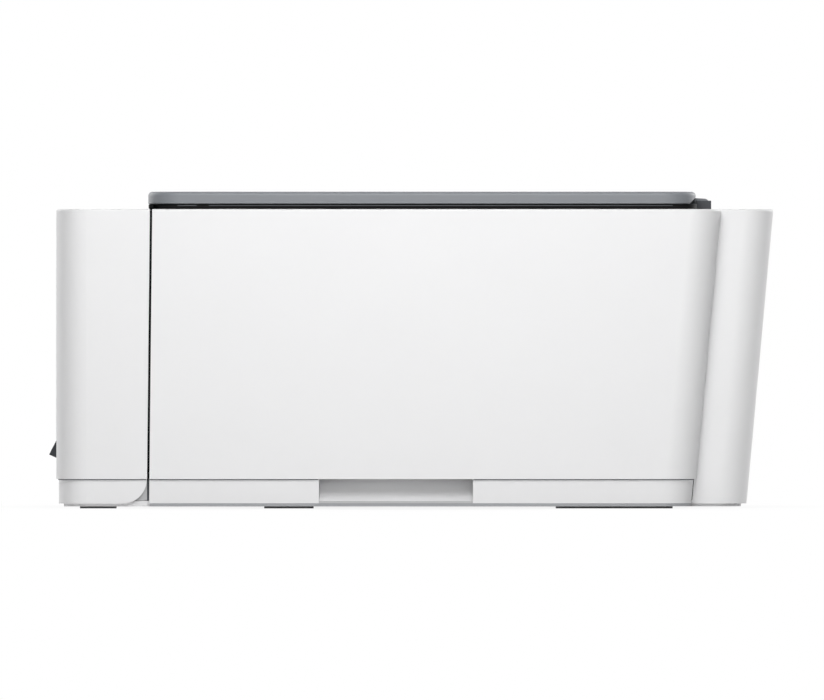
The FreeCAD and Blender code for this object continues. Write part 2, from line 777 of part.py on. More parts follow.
def button(x, radius):
    """A round key with a collar that keeps it in the panel."""
    y0, y1 = panel_depth()
    y = (y0 + y1) / 2
    collar_top = panel_low - REST
    key = rod_z(collar_top, BODY_TOP, x, y, radius)
    key = round_edges(key, BUTTON_EDGE, lambda c: near(c.z, BODY_TOP))
    return joined(key, rod_z(collar_top - BUTTON_COLLAR_T, collar_top, x, y, radius + BUTTON_COLLAR))


def output_tray():
    """A channel that slides out over the base's rails."""
    front = lip_back + RUN
    plate = box(tray_left, tray_right, front, front + TRAY_LENGTH, TRAY_BOTTOM, TRAY_BOTTOM + TRAY_T)
    top = TRAY_BOTTOM + TRAY_T + TRAY_RIM_H
    left_rim = box(tray_left, tray_left + TRAY_RIM_W, front, front + TRAY_LENGTH, TRAY_BOTTOM, top)
    right_rim = box(tray_right - TRAY_RIM_W, tray_right, front, front + TRAY_LENGTH, TRAY_BOTTOM, top)
    return joined(plate, left_rim, right_rim)


def tray_extender():
    """The sliding leaf in the tray, with the lip that stands proud of the front."""
    x0 = tray_left + TRAY_RIM_W + RUN
    x1 = tray_right - TRAY_RIM_W - RUN
    low = TRAY_BOTTOM + TRAY_T + RUN
    leaf = box(x0, x1, y_front, lip_back + EXTENDER_LENGTH, low, low + TRAY_T)
    tip = y_front - LIP_REACH
    outline = [(lip_back, LIP_BOTTOM), (lip_back, LIP_TOP), (y_front, LIP_TOP)]
    outline += [(tip + LIP_CHIN, LIP_NOSE_TOP), (tip, LIP_NOSE_BOTTOM), (y_front, LIP_BOTTOM)]
    return joined(leaf, prism_x(outline, x0, x1))


def rail_place():
    """The (y, z) line of the scan bar's rail."""
    return glass_front + glass_width / 2, bed_bottom + WALL + SCAN_RAIL_RISE


def lift_ear_span():
    return chassis_half - LIFT_EAR_GAP - LIFT_EAR_T, chassis_half - LIFT_EAR_GAP


def scanner_bed():
    """The scanner's tray with its rail, its back flange and the ears that it lifts on."""
    tray = box(-bed_half, bed_half, bed_front, bed_back, bed_bottom, BODY_TOP)
    tray = tray.cut(box(-bed_half + WALL, bed_half - WALL, bed_front + WALL, bed_back - WALL,
                        bed_bottom + WALL, BODY_TOP))
    y, z = rail_place()
    rail = rod_x(-bed_half + WALL / 2, bed_half - WALL / 2, y, z, SCAN_RAIL_R)
    flange_half = hinge_x - HINGE_W / 2
    flange = box(-flange_half, flange_half, bed_back, bed_back + HINGE_DEPTH, BODY_TOP - WALL, BODY_TOP)
    bed = joined(tray, rail, flange)
    x0, x1 = lift_ear_span()
    web = box(x0, x1, bed_back, hinge_y, lift_z - LIFT_EAR_R, lift_z + LIFT_EAR_R)
    ear = joined(web, rod_x(x0, x1, hinge_y, lift_z, LIFT_EAR_R))
    ear = ear.cut(rod_x(x0, x1, hinge_y, lift_z, LIFT_PIN_R + FIT))
    return joined(bed, ear, mirrored(ear))


def scanner_deck():
    """The dark frame round the glass."""
    half = half_w - DECK_SIDE_INSET
    front = panel_front + DECK_FRONT_GAP
    deck = box(-half, half, front, bed_back, BODY_TOP, deck_top)
    deck = round_edges(deck, CORNER_R - DECK_SIDE_INSET, lambda c: near(c.z, (BODY_TOP + deck_top) / 2))
    window = box(-glass_half, glass_half, glass_front, glass_front + glass_width, BODY_TOP, deck_top)
    return deck.cut(window)


def scanner_glass():
    half = glass_half + GLASS_LAP
    return box(-half, half, glass_front - GLASS_LAP, glass_front + glass_width + GLASS_LAP,
               BODY_TOP - GLASS_T, BODY_TOP)


def scan_bar():
    """The moving sensor bar, parked at the left end, with a saddle that runs on the rail."""
    middle = -bed_half + BAR_PARK
    top = BODY_TOP - GLASS_T - BAR_GAP
    left = middle - BAR_W / 2
    right = middle + BAR_W / 2
    bar = box(left, right, glass_front, glass_front + glass_width, top - BAR_H, top)
    y, z = rail_place()
    saddle = box(left, right, y - 2 * SCAN_RAIL_R, y + 2 * SCAN_RAIL_R, z - SCAN_RAIL_R - SADDLE_T,
                 top - BAR_H / 2)
    bar = joined(bar, saddle)
    return bar.cut(rod_x(middle - BAR_W, middle + BAR_W, y, z, SCAN_RAIL_R + FIT))


def lid_hinges():
    """Two forked blocks on the back of the scanner, each with a pin across its fork."""
    block = box(hinge_x - HINGE_W / 2, hinge_x + HINGE_W / 2, bed_back, bed_back + HINGE_DEPTH,
                BODY_TOP - HINGE_DROP, deck_top + HINGE_TOP)
    half = TAB_W / 2 + RUN
    fork = box(hinge_x - half, hinge_x + half, bed_back - WALL, bed_back + HINGE_DEPTH + WALL,
               hinge_z - KNUCKLE_R - RUN, deck_top + 2 * HINGE_TOP)
    pin = rod_x(hinge_x - half - WALL, hinge_x + half + WALL, hinge_y, hinge_z, HINGE_PIN_R)
    hinge = joined(block.cut(fork), pin)
    return Part.makeCompound([hinge, mirrored(hinge)])


def pad_span():
    """Front and back faces of the foam pad, inside the glass opening."""
    return glass_front + PAD_GAP, glass_front + glass_width - PAD_GAP


def lid_shell():
    """The document cover: a shallow tray upside down, with two hinge tabs."""
    half = half_w - LID_SIDE_INSET
    shell = box(-half, half, lid_front, lid_back, lid_bottom, lid_top)
    shell = round_edges(shell, LID_R, lambda c: near(c.z, (lid_bottom + lid_top) / 2))
    shell = round_edges(shell, LID_EDGE_R, lambda c: near(c.z, lid_top))
    notch = [(lid_back - LID_CHAMFER, lid_bottom), (lid_back, lid_bottom + LID_CHAMFER)]
    shell = shell.cut(prism_x(notch + [(lid_back, lid_bottom)], -half, half))
    rim = half - LID_RIM
    high = lid_top - LID_TOP_T
    hollow = box(-rim, rim, lid_front + LID_RIM, lid_back - LID_RIM - LID_CHAMFER, lid_bottom, high)
    hollow = round_edges(hollow, LID_R - LID_RIM, lambda c: near(c.z, (lid_bottom + high) / 2))
    shell = shell.cut(hollow)
    low = deck_top + RUN
    tab_points = [(hinge_y - TAB_REACH, low), (hinge_y - TAB_REACH, high), (hinge_y, hinge_z + KNUCKLE_R)]
    tab_points += [(hinge_y, hinge_z - KNUCKLE_R), (hinge_y - KNUCKLE_R, low)]
    left = hinge_x - TAB_W / 2
    right = left + TAB_W
    tab = joined(prism_x(tab_points, left, right), rod_x(left, right, hinge_y, hinge_z, KNUCKLE_R))
    shell = joined(shell, tab, mirrored(tab))
    bore = rod_x(left, right, hinge_y, hinge_z, HINGE_PIN_R + FIT)
    return shell.cut([bore, mirrored(bore)])


def lid_pad():
    """The white foam pad under the cover, which presses paper on the glass."""
    half = glass_half - PAD_GAP
    y0, y1 = pad_span()
    return box(-half, half, y0, y1, BODY_TOP + PAD_LIFT, lid_top - LID_TOP_T)


def input_flap():
    """The cover over the paper slot, with a low finger ridge on top."""
    low = BODY_TOP - WALL
    front = panel_back - SHROUD_LAP + SLOT_WALL + RUN
    flap = flush_flap(-SLOT_HALF + RUN, SLOT_HALF - RUN, front, flap_y, low)
    middle = (front + flap_y) / 2
    ridge = box(-FLAP_FINGER_W / 2, FLAP_FINGER_W / 2, middle - FLAP_FINGER_L / 2, middle + FLAP_FINGER_L / 2,
                low, BODY_TOP + FLAP_FINGER_H)
    return joined(flap, ridge)


def paper_support():
    """A leaf that slides up out of the slot along the shroud's leaning back wall."""
    high = BODY_TOP - REST
    low = high - SUPPORT_L
    outline = [(support_front + lean_at(low), low), (support_front + lean_at(high), high)]
    outline += [(y + SUPPORT_T, z) for y, z in reversed(outline)]
    return prism_x(outline, -SUPPORT_W / 2, SUPPORT_W / 2)


def on_ramp(shape):
    """Lay a shape drawn with Y up the slope and Z off the paper face onto the ramp."""
    turn = FreeCAD.Rotation(vec(1, 0, 0), math.degrees(ramp_angle))
    shape.Placement = FreeCAD.Placement(vec(0, *ramp_foot), turn).multiply(shape.Placement)
    return shape


def rack_line():
    """Distance up the slope from the pinion's axis to the root of each guide's rack."""
    return MODULE * GUIDE_PINION_TEETH / 2 + DEDENDUM * MODULE


def stem_span():
    """Left and right faces of the right guide's stem."""
    inner = SLOT_HALF - GUIDE_INSET
    return inner - STEM_L, inner


def paper_ramp():
    """The sloping paper rest with its toe, its side cheeks and the guides' slots."""
    plate = on_ramp(box(-SLOT_HALF, SLOT_HALF, 0.0, ramp_length, -RAMP_T, 0.0))
    y, z = ramp_foot
    toe_y = feed_y + FEED_R + TOE_GAP
    toe_z = nip_z - TOE_DROP
    heel = (y + RAMP_T * math.sin(ramp_angle), z - RAMP_T * math.cos(ramp_angle))
    toe = prism_x([(y, z), (toe_y, toe_z), (toe_y, toe_z - RAMP_T), (y, z - RAMP_T), heel],
                  -SLOT_HALF, SLOT_HALF)
    cheek_y = y + CHEEK_SHARE * (ramp_top[0] - y)
    cheek_z = z + CHEEK_SHARE * (ramp_top[1] - z)
    cheek = prism_x([(y, z), (cheek_y, cheek_z), (cheek_y, floor_top), (y, floor_top)],
                    SLOT_HALF - CHEEK_T, SLOT_HALF)
    ramp = joined(plate, toe, cheek, mirrored(cheek))
    x0, x1 = stem_span()
    near_side = GUIDE_U + rack_line()
    slot = box(x0 - GUIDE_TRAVEL - RUN, x1 + RUN, near_side - RUN, near_side + RACK_W + RUN,
               -2 * RAMP_T, RAMP_T)
    far_side = GUIDE_U - rack_line() - RACK_W
    twin = box(-x1 - RUN, -x0 + GUIDE_TRAVEL + RUN, far_side - RUN, far_side + RACK_W + RUN,
               -2 * RAMP_T, RAMP_T)
    pin = rod_z(-RAMP_T - RUN - RACK_T, -RAMP_T / 2, 0.0, GUIDE_U, GUIDE_PIN_R)
    return joined(ramp.cut([on_ramp(slot), on_ramp(twin)]), on_ramp(pin))


def rack_teeth(low, high):
    """Straight teeth along X on both sides of X = 0, pointing at the pinion."""
    pitch = math.pi * MODULE
    half = pitch / 4 - BACKLASH / 2
    slope = math.tan(PRESSURE)
    root = rack_line()
    tip = root - (1 + DEDENDUM) * MODULE
    wide = half + DEDENDUM * MODULE * slope
    thin = half - MODULE * slope
    teeth = []
    for place in range(-RACK_SPARE, int(GUIDE_TRAVEL / pitch) + RACK_SPARE):
        x = place * pitch
        outline = [(x - wide, root), (x - thin, tip), (x + thin, tip), (x + wide, root)]
        teeth.append(prism_z([(px, GUIDE_U + py) for px, py in outline], low, high))
    return teeth


def right_guide():
    """A paper guide: fin, foot, stem through the ramp and rack bar under it."""
    inner = SLOT_HALF - GUIDE_INSET
    x0, x1 = stem_span()
    bottom = GUIDE_U - GUIDE_L / 2
    top = bottom + GUIDE_L
    fin = box(inner, inner + GUIDE_T, bottom, top, RUN, GUIDE_H)
    foot = box(inner - GUIDE_FOOT, inner + GUIDE_T, bottom, top, RUN, RUN + RAMP_T)
    side = GUIDE_U + rack_line()
    high = -RAMP_T - RUN
    low = high - RACK_T
    stem = box(x0, x1, side, side + RACK_W, low, RUN + RAMP_T / 2)
    bar = box(-(RACK_SPARE + 1) * math.pi * MODULE, x1, side, side + RACK_W, low, high)
    return joined(fin, foot, stem, bar, *rack_teeth(low, high))


def left_guide():
    """The right guide turned half round about the pinion's axis."""
    guide = right_guide()
    guide.rotate(vec(0, GUIDE_U, 0), vec(0, 0, 1), 180)
    return guide


def involute(angle):
    return math.tan(angle) - angle


def gear(teeth, thickness, bore):
    """A spur gear about Z from Z = 0, with a tooth on +X and involute flanks."""
    pitch_r = MODULE * teeth / 2
    base_r = pitch_r * math.cos(PRESSURE)
    root_r = pitch_r - DEDENDUM * MODULE
    tip_r = pitch_r + MODULE
    half_pitch = math.pi / (2 * teeth) - BACKLASH / (2 * pitch_r)
    start = max(base_r, root_r)
    radii = [start + (tip_r - start) * step / FLANK_STEPS for step in range(FLANK_STEPS + 1)]
    flank = [(r, half_pitch + involute(PRESSURE) - involute(math.acos(min(1.0, base_r / r)))) for r in radii]
    flank = [(root_r, flank[0][1])] * (root_r < start) + flank
    points = []
    for tooth in range(teeth):
        middle = 2 * math.pi * tooth / teeth
        points += [(r, middle - half) for r, half in flank]
        points += [(r, middle + half) for r, half in reversed(flank)]
    outline = [(r * math.cos(turn), r * math.sin(turn)) for r, turn in points]
    return prism_z(outline, 0.0, thickness).cut(rod_z(0.0, thickness, 0.0, 0.0, bore))


def mesh_turn(turn, teeth, direction, next_teeth):
    """Turn of the next gear so that it meshes with one at the given turn, in radians."""
    share = ((direction - turn) / (2 * math.pi / teeth)) % 1.0
    return direction + math.pi + (share + 0.5) * 2 * math.pi / next_teeth


def gear_on_x(teeth, bore, y, z, turn):
    """A gear of the train on the left of the chassis, its angles counted from +Y to +Z."""
    wheel = gear(teeth, GEAR_T, bore)
    wheel.rotate(vec(0, 0, 0), vec(0, 0, 1), math.degrees(turn))
    axes = FreeCAD.Rotation(vec(0, 1, 0), vec(0, 0, 1), vec(1, 0, 0), "XYZ")
    wheel.Placement = FreeCAD.Placement(vec(gear_outer, y, z), axes).multiply(wheel.Placement)
    return wheel


def guide_pinion():
    wheel = gear(GUIDE_PINION_TEETH, RACK_T, GUIDE_PIN_R + FIT)
    wheel.rotate(vec(0, 0, 0), vec(0, 0, 1), 180 / GUIDE_PINION_TEETH)
    wheel.translate(vec(0, GUIDE_U, -RAMP_T - RUN - RACK_T))
    return on_ramp(wheel)


def pick_place():
    """The pick roller's (y, z) axis: near the ramp and at its gear's distance from the feed gear."""
    reach = MODULE * (FEED_TEETH + PICK_TEETH) / 2
    offset = PICK_R + PICK_GAP
    along = (math.cos(ramp_angle), math.sin(ramp_angle))
    start = (ramp_foot[0] - along[1] * offset - feed_y, ramp_foot[1] + along[0] * offset - FEED_Z)
    half_b = start[0] * along[0] + start[1] * along[1]
    rest = start[0] ** 2 + start[1] ** 2 - reach ** 2
    up = -half_b + math.sqrt(half_b ** 2 - rest)
    return feed_y + start[0] + along[0] * up, FEED_Z + start[1] + along[1] * up


def chassis_frame():
    """Two steel side plates, the back beam, the idler studs and the ink joint block."""
    front = y_back - CHASSIS_FRONT
    pick_y, pick_z = pick_place()
    arm_front = bed_back + ARM_GAP
    arm_back = arm_front + ARM_W
    low_back = pick_y + PICK_R
    arm_top = lift_z + LIFT_EAR_R
    outline = [(front, floor_top), (front, BAY_TOP), (front + CHASSIS_SLOPE, CHASSIS_TOP)]
    outline += [(arm_front, CHASSIS_TOP), (arm_front, arm_top), (arm_back, arm_top), (arm_back, ARM_BOTTOM)]
    outline += [(low_back, ROD_Z - MOTOR_R), (low_back, floor_top)]
    right = prism_x(outline, chassis_half, chassis_out)
    beam = box(-chassis_half, chassis_half, beam_front, beam_back, BEAM_BOTTOM, CHASSIS_TOP)
    x0, x1 = lift_ear_span()
    lift_pin = rod_x(x0 - LIFT_EAR_GAP, chassis_half, hinge_y, lift_z, LIFT_PIN_R)
    stud = rod_y(belt_front, beam_front, pulley_x, PULLEY_Z, PULLEY_SHAFT_R)
    idler_stud = rod_x(gear_outer, -chassis_half, idler_y, FEED_Z, JOURNAL_R)
    joint_block = box(chassis_out, tube_channel(COLOUR_TANKS) + TUBE_PITCH, tube_end(), tube_end() + JOINT_L,
                      TUBE_Z - TUBE_PITCH, TUBE_Z + TUBE_PITCH)
    frame = joined(right, mirrored(right), beam, lift_pin, mirrored(lift_pin), stud, idler_stud, joint_block)
    journals = [(feed_y, FEED_Z), (exit_y, FEED_Z), (pick_y, pick_z)]
    bores = [rod_x(-half_w, half_w, y, z, JOURNAL_R + FIT) for y, z in journals]
    bores.append(rod_x(-chassis_out, -chassis_half, *pinion_place, PULLEY_SHAFT_R + FIT))
    bores.append(rod_y(beam_front, beam_back, -pulley_x, PULLEY_Z, PULLEY_SHAFT_R + FIT))
    return frame.cut(bores)


def carriage_rod():
    return rod_x(-chassis_half, chassis_half, rod_line, ROD_Z, ROD_R)


def belt_run():
    """Bottom and top of the belt's lower run."""
    top = PULLEY_Z - belt_radius
    return top - BELT_T, top


def carriage():
    """The head's carriage: a stepped body with the rod bore, strip slot, ink well and belt clip."""
    left = carriage_right - CARRIAGE_W
    front = carriage_back - CARRIAGE_DEPTH
    nose = feed_y - CARRIAGE_NOSE
    outline = [(front, CARRIAGE_BOTTOM), (nose, CARRIAGE_BOTTOM), (nose, CARRIAGE_STEP)]
    outline += [(carriage_back, CARRIAGE_STEP), (carriage_back, CARRIAGE_TOP), (front, CARRIAGE_TOP)]
    body = prism_x(outline, left, carriage_right)
    well = box(left + WALL, carriage_right - WALL, front + WALL, rod_line - ROD_R - WALL,
               CARRIAGE_BOTTOM + WALL, CARRIAGE_TOP)
    strip = strip_line()
    slot = box(left, carriage_right, strip - STRIP_SLOT / 2, strip + STRIP_SLOT / 2,
               STRIP_Z - STRIP_SLOT, CARRIAGE_TOP)
    low, high = belt_run()
    clip_x = carriage_x - CLIP_SHIFT
    clip = box(clip_x - CLIP_W / 2, clip_x + CLIP_W / 2, carriage_back, belt_front + PULLEY_W,
               low - CLIP_GAP - CLIP_T, high + CLIP_GAP + CLIP_T)
    grip = box(clip_x - CLIP_W / 2, clip_x + CLIP_W / 2, belt_front - CLIP_GAP, belt_front + 2 * PULLEY_W,
               low - CLIP_GAP, high + CLIP_GAP)
    bore = rod_x(left, carriage_right, rod_line, ROD_Z, ROD_R + FIT)
    return joined(body, clip).cut([well, slot, grip, bore])


def head_depth():
    """Front and back of the printhead."""
    back = feed_y - CARRIAGE_NOSE - HEAD_BACK
    return back - HEAD_L, back


def printhead():
    y0, y1 = head_depth()
    return box(carriage_x - HEAD_W / 2, carriage_x + HEAD_W / 2, y0, y1, head_bottom, CARRIAGE_BOTTOM)


def strip_line():
    return carriage_back - STRIP_BACK


def encoder_strip():
    y = strip_line()
    return box(-chassis_half, chassis_half, y - STRIP_T / 2, y + STRIP_T / 2, STRIP_Z, STRIP_Z + STRIP_H)


def belt_loop(radius, front, back):
    """A racetrack block round both pulley axes."""
    block = box(-pulley_x, pulley_x, front, back, PULLEY_Z - radius, PULLEY_Z + radius)
    ends = [rod_y(front, back, x, PULLEY_Z, radius) for x in (-pulley_x, pulley_x)]
    return joined(block, *ends)


def drive_belt():
    back = belt_front + PULLEY_W
    return belt_loop(belt_radius + BELT_T, belt_front, back).cut(belt_loop(belt_radius, belt_front, back))


def pulley(x):
    """A flanged belt pulley about Y."""
    back = belt_front + PULLEY_W
    wheel = rod_y(belt_front - BELT_GAP - FLANGE_T, back + BELT_GAP + FLANGE_T, x, PULLEY_Z, PULLEY_R)
    front_flange = rod_y(belt_front - BELT_GAP - FLANGE_T, belt_front - BELT_GAP, x, PULLEY_Z, FLANGE_R)
    back_flange = rod_y(back + BELT_GAP, back + BELT_GAP + FLANGE_T, x, PULLEY_Z, FLANGE_R)
    return joined(wheel, front_flange, back_flange)


def motor_pulley():
    shaft = rod_y(belt_front, beam_back + MOTOR_L / 2, -pulley_x, PULLEY_Z, PULLEY_SHAFT_R)
    return joined(pulley(-pulley_x), shaft)


def idler_pulley():
    bore = rod_y(belt_front - PULLEY_W, beam_front, pulley_x, PULLEY_Z, PULLEY_SHAFT_R + FIT)
    return pulley(pulley_x).cut(bore)


def drive_motors():
    """The carriage motor behind the beam and the paper motor inside the left plate."""
    y, z = pinion_place
    bore = PULLEY_SHAFT_R + FIT
    left = -chassis_half
    carriage_motor = rod_y(beam_back, beam_back + MOTOR_L, -pulley_x, PULLEY_Z, MOTOR_R)
    carriage_motor = carriage_motor.cut(rod_y(beam_back, beam_back + MOTOR_L / 2, -pulley_x, PULLEY_Z, bore))
    paper_motor = rod_x(left, left + MOTOR_L, y, z, MOTOR_R)
    paper_motor = paper_motor.cut(rod_x(left, left + MOTOR_L / 2, y, z, bore))
    return Part.makeCompound([carriage_motor, paper_motor])


def roller(y, z, radius, half):
    """A roller on a shaft that reaches from the gear plane to the right plate."""
    shaft = rod_x(gear_outer, chassis_out + GEAR_GAP, y, z, JOURNAL_R)
    return joined(shaft, rod_x(-half, half, y, z, radius))


def feed_roller():
    return roller(feed_y, FEED_Z, FEED_R, roller_half)


def feed_gear():
    return gear_on_x(FEED_TEETH, JOURNAL_R, feed_y, FEED_Z, 0.0)


def idler_turn():
    return mesh_turn(0.0, FEED_TEETH, math.pi, IDLER_TEETH)


def idler_gear():
    return gear_on_x(IDLER_TEETH, JOURNAL_R + FIT, idler_y, FEED_Z, idler_turn())


def exit_roller():
    turn = mesh_turn(idler_turn(), IDLER_TEETH, math.pi, EXIT_TEETH)
    return joined(roller(exit_y, FEED_Z, FEED_R, roller_half),
                  gear_on_x(EXIT_TEETH, JOURNAL_R, exit_y, FEED_Z, turn))


def motor_pinion():
    y, z = pinion_place
    turn = mesh_turn(0.0, FEED_TEETH, pinion_turn, PINION_TEETH)
    shaft = rod_x(gear_outer, -chassis_half + MOTOR_L / 2, y, z, PULLEY_SHAFT_R)
    return joined(gear_on_x(PINION_TEETH, PULLEY_SHAFT_R, y, z, turn), shaft)


def pick_roller():
    y, z = pick_place()
    direction = math.atan2(z - FEED_Z, y - feed_y)
    turn = mesh_turn(0.0, FEED_TEETH, direction, PICK_TEETH)
    return joined(roller(y, z, PICK_R, PICK_W / 2), gear_on_x(PICK_TEETH, JOURNAL_R, y, z, turn))


def pinch_line():
    return feed_y, nip_z + NIP + PINCH_R


def star_line():
    return exit_y, nip_z + NIP + STAR_R


def pinch_rollers():
    """Pressure rollers on one axle above the feed roller."""
    y, z = pinch_line()
    pitch = 2 * roller_half / PINCH_COUNT
    axle = rod_x(-roller_half - HANGER_T, roller_half + HANGER_T, y, z, PINCH_AXLE_R)
    middles = [-roller_half + pitch * (place + 0.5) for place in range(PINCH_COUNT)]
    return joined(axle, *[rod_x(x - PINCH_L / 2, x + PINCH_L / 2, y, z, PINCH_R) for x in middles])


def star_wheel(x, y, z):
    """A thin toothed wheel that touches fresh print only with its tips."""
    points = []
    for tip in range(2 * STAR_TIPS):
        radius = STAR_R if tip % 2 == 0 else STAR_R * STAR_ROOT
        turn = math.pi * tip / STAR_TIPS
        points.append((y + radius * math.cos(turn), z + radius * math.sin(turn)))
    return prism_x(points, x - STAR_T / 2, x + STAR_T / 2)


def star_wheels():
    y, z = star_line()
    pitch = 2 * roller_half / STAR_COUNT
    axle = rod_x(-roller_half - HANGER_T, roller_half + HANGER_T, y, z, STAR_AXLE_R)
    middles = [-roller_half + pitch * (place + 0.5) for place in range(STAR_COUNT)]
    return joined(axle, *[star_wheel(x, y, z) for x in middles])


def hanger_places():
    """X places of the holders' hangers, between and outside the wheels."""
    return [-roller_half, 0.0, roller_half]


def roller_holders():
    """The pinch rollers' holder on the beam and the star wheels' holder between the plates."""
    y, z = pinch_line()
    shelf = z + PINCH_R + NIP
    pinch = box(-roller_half - HANGER_T, roller_half + HANGER_T, y + PINCH_R + NIP, beam_front, shelf,
                shelf + HOLDER_T)
    star_y, star_z = star_line()
    star_shelf = star_z + STAR_R + HOLDER_T
    star = box(-chassis_half, chassis_half, star_y - STAR_R, star_y + STAR_R, star_shelf,
               star_shelf + HOLDER_T)
    for x in hanger_places():
        pinch = joined(pinch, box(x - HANGER_T / 2, x + HANGER_T / 2, y - HOLDER_T, y + PINCH_R + HOLDER_T,
                                  z - HOLDER_T, shelf + HOLDER_T))
        star = joined(star, box(x - HANGER_T / 2, x + HANGER_T / 2, star_y - HOLDER_T, star_y + HOLDER_T,
                                star_z - HOLDER_T, star_shelf))
    pinch = pinch.cut(rod_x(-half_w, half_w, y, z, PINCH_AXLE_R + FIT))
    star = star.cut(rod_x(-half_w, half_w, star_y, star_z, STAR_AXLE_R + FIT))
    return Part.makeCompound([pinch, star])


def platen():
    """The ribbed paper table between the two rollers, on the left plate and a leg."""
    front = exit_y + FEED_R + ROLLER_GAP
    back = feed_y - FEED_R - ROLLER_GAP
    right = roller_half - PLATEN_LEG
    top = nip_z - NIP
    low = top - PLATEN_RIB - PLATEN_T
    table = box(-chassis_half, right, front, back, low, low + PLATEN_T)
    leg = box(right - PLATEN_LEG, right, front, back, floor_top, low)
    pitch = 2 * right / PLATEN_RIBS
    ribs = []
    for place in range(PLATEN_RIBS):
        x = -right + pitch * (place + 0.5)
        ribs.append(box(x - PLATEN_RIB_W / 2, x + PLATEN_RIB_W / 2, front, back, low, top))
    return joined(table, leg, *ribs)


def station_depth():
    front = exit_y + FEED_R + STATION_FRONT
    return front, front + STATION_L


def service_station():
    """An open box under the parked head, which guides the head cap."""
    y0, y1 = station_depth()
    top = floor_top + STATION_H
    tub = box(station_left, station_right, y0, y1, floor_top, top)
    well = box(station_left + WALL, station_right - WALL, y0 + WALL, y1 - WALL, floor_top + WALL, top)
    return tub.cut(well)


def head_cap():
    """The cap that seals the parked head; it drops clear before the carriage leaves."""
    y0, y1 = station_depth()
    gap = WALL + RUN
    top = floor_top + STATION_H
    low = floor_top + WALL + CAP_DROP + CAP_LIP
    body = box(station_left + gap, station_right - gap, y0 + gap, y1 - gap, low, top)
    head_y0, head_y1 = head_depth()
    pad_top = head_bottom - REST
    half = HEAD_W / 2 + CAP_LIP
    pad = box(carriage_x - half, carriage_x + half, head_y0 - CAP_LIP, y1 - gap, top - WALL, pad_top)
    cup = box(carriage_x - half + CAP_LIP, carriage_x + half - CAP_LIP, head_y0, y1 - gap - CAP_LIP,
              pad_top - CAP_LIP, pad_top)
    return joined(body, pad).cut(cup)


def circuit_boards():
    """The upright main board with its data socket, and the small board under the buttons."""
    front = y_back - BOARD_Y
    back = front + BOARD_T
    main = box(BOARD_X - BOARD_W / 2, BOARD_X + BOARD_W / 2, front, back, floor_top, floor_top + BOARD_H)
    mouth = y_back + lean_at(DATA_Z - DATA_H / 2) - JOIN
    socket = box(DATA_X - DATA_W / 2, DATA_X + DATA_W / 2, back, mouth,
                 DATA_Z - DATA_H / 2, DATA_Z + DATA_H / 2)
    bore = box(DATA_X - DATA_BORE_W / 2, DATA_X + DATA_BORE_W / 2, back + WALL, mouth,
               DATA_Z - DATA_BORE_H / 2, DATA_Z + DATA_BORE_H / 2)
    tongue = box(DATA_X - DATA_TONGUE_W / 2, DATA_X + DATA_TONGUE_W / 2, back, mouth - WALL,
                 DATA_Z - DATA_BORE_H / 2, DATA_Z - DATA_BORE_H / 2 + DATA_TONGUE_H)
    y0, y1 = panel_depth()
    high = panel_low - post_h
    keys = box(panel_left - PANEL_FLANGE, panel_right + PANEL_FLANGE, y0, y1, high - BOARD_T, high)
    return Part.makeCompound([main, joined(socket.cut(bore), tongue), keys])


def power_supply():
    """The enclosed supply under the ramp with its two-pin mains inlet."""
    back = y_back - SUPPLY_Y
    case = box(SUPPLY_X - SUPPLY_W / 2, SUPPLY_X + SUPPLY_W / 2, back - SUPPLY_L, back,
               floor_top, floor_top + SUPPLY_H)
    mouth = y_back + lean_at(INLET_Z - INLET_H / 2) - JOIN
    shell = box(SUPPLY_X - INLET_W / 2, SUPPLY_X + INLET_W / 2, back, mouth,
                INLET_Z - INLET_H / 2, INLET_Z + INLET_H / 2)
    floor = mouth - INLET_DEEP
    middles = (SUPPLY_X - INLET_PITCH / 2, SUPPLY_X + INLET_PITCH / 2)
    lobes = [rod_y(floor, mouth, x, INLET_Z, INLET_LOBE_R) for x in middles]
    neck = box(*middles, floor, mouth, INLET_Z - INLET_LOBE_R / 2, INLET_Z + INLET_LOBE_R / 2)
    pins = [rod_y(floor - INLET_PIN_R, mouth - INLET_PIN_R, x, INLET_Z, INLET_PIN_R) for x in middles]
    return joined(joined(case, shell).cut(lobes + [neck]), *pins)


def tube_channel(place):
    """X line of each tube's long run beside the right plate."""
    return chassis_out + TUBE_PITCH * (place + 1)


def tube_end():
    """Front face of the joint block where the four tubes end."""
    return rod_line - CARRIAGE_DEPTH / 2


def ink_tubes():
    """Four tubes from the tanks' backs, over to the right plate and back to the joint block."""
    tubes = []
    for place, (x0, x1) in enumerate(tank_spans()):
        start_x = (x0 + x1) / 2
        end_x = tube_channel(place)
        turn_y = tank_back + TUBE_LEAD + TUBE_PITCH * (len(tank_spans()) - place)
        tubes.append(tube_run(start_x, end_x, tank_back, turn_y, tube_end()))
    return Part.makeCompound(tubes)


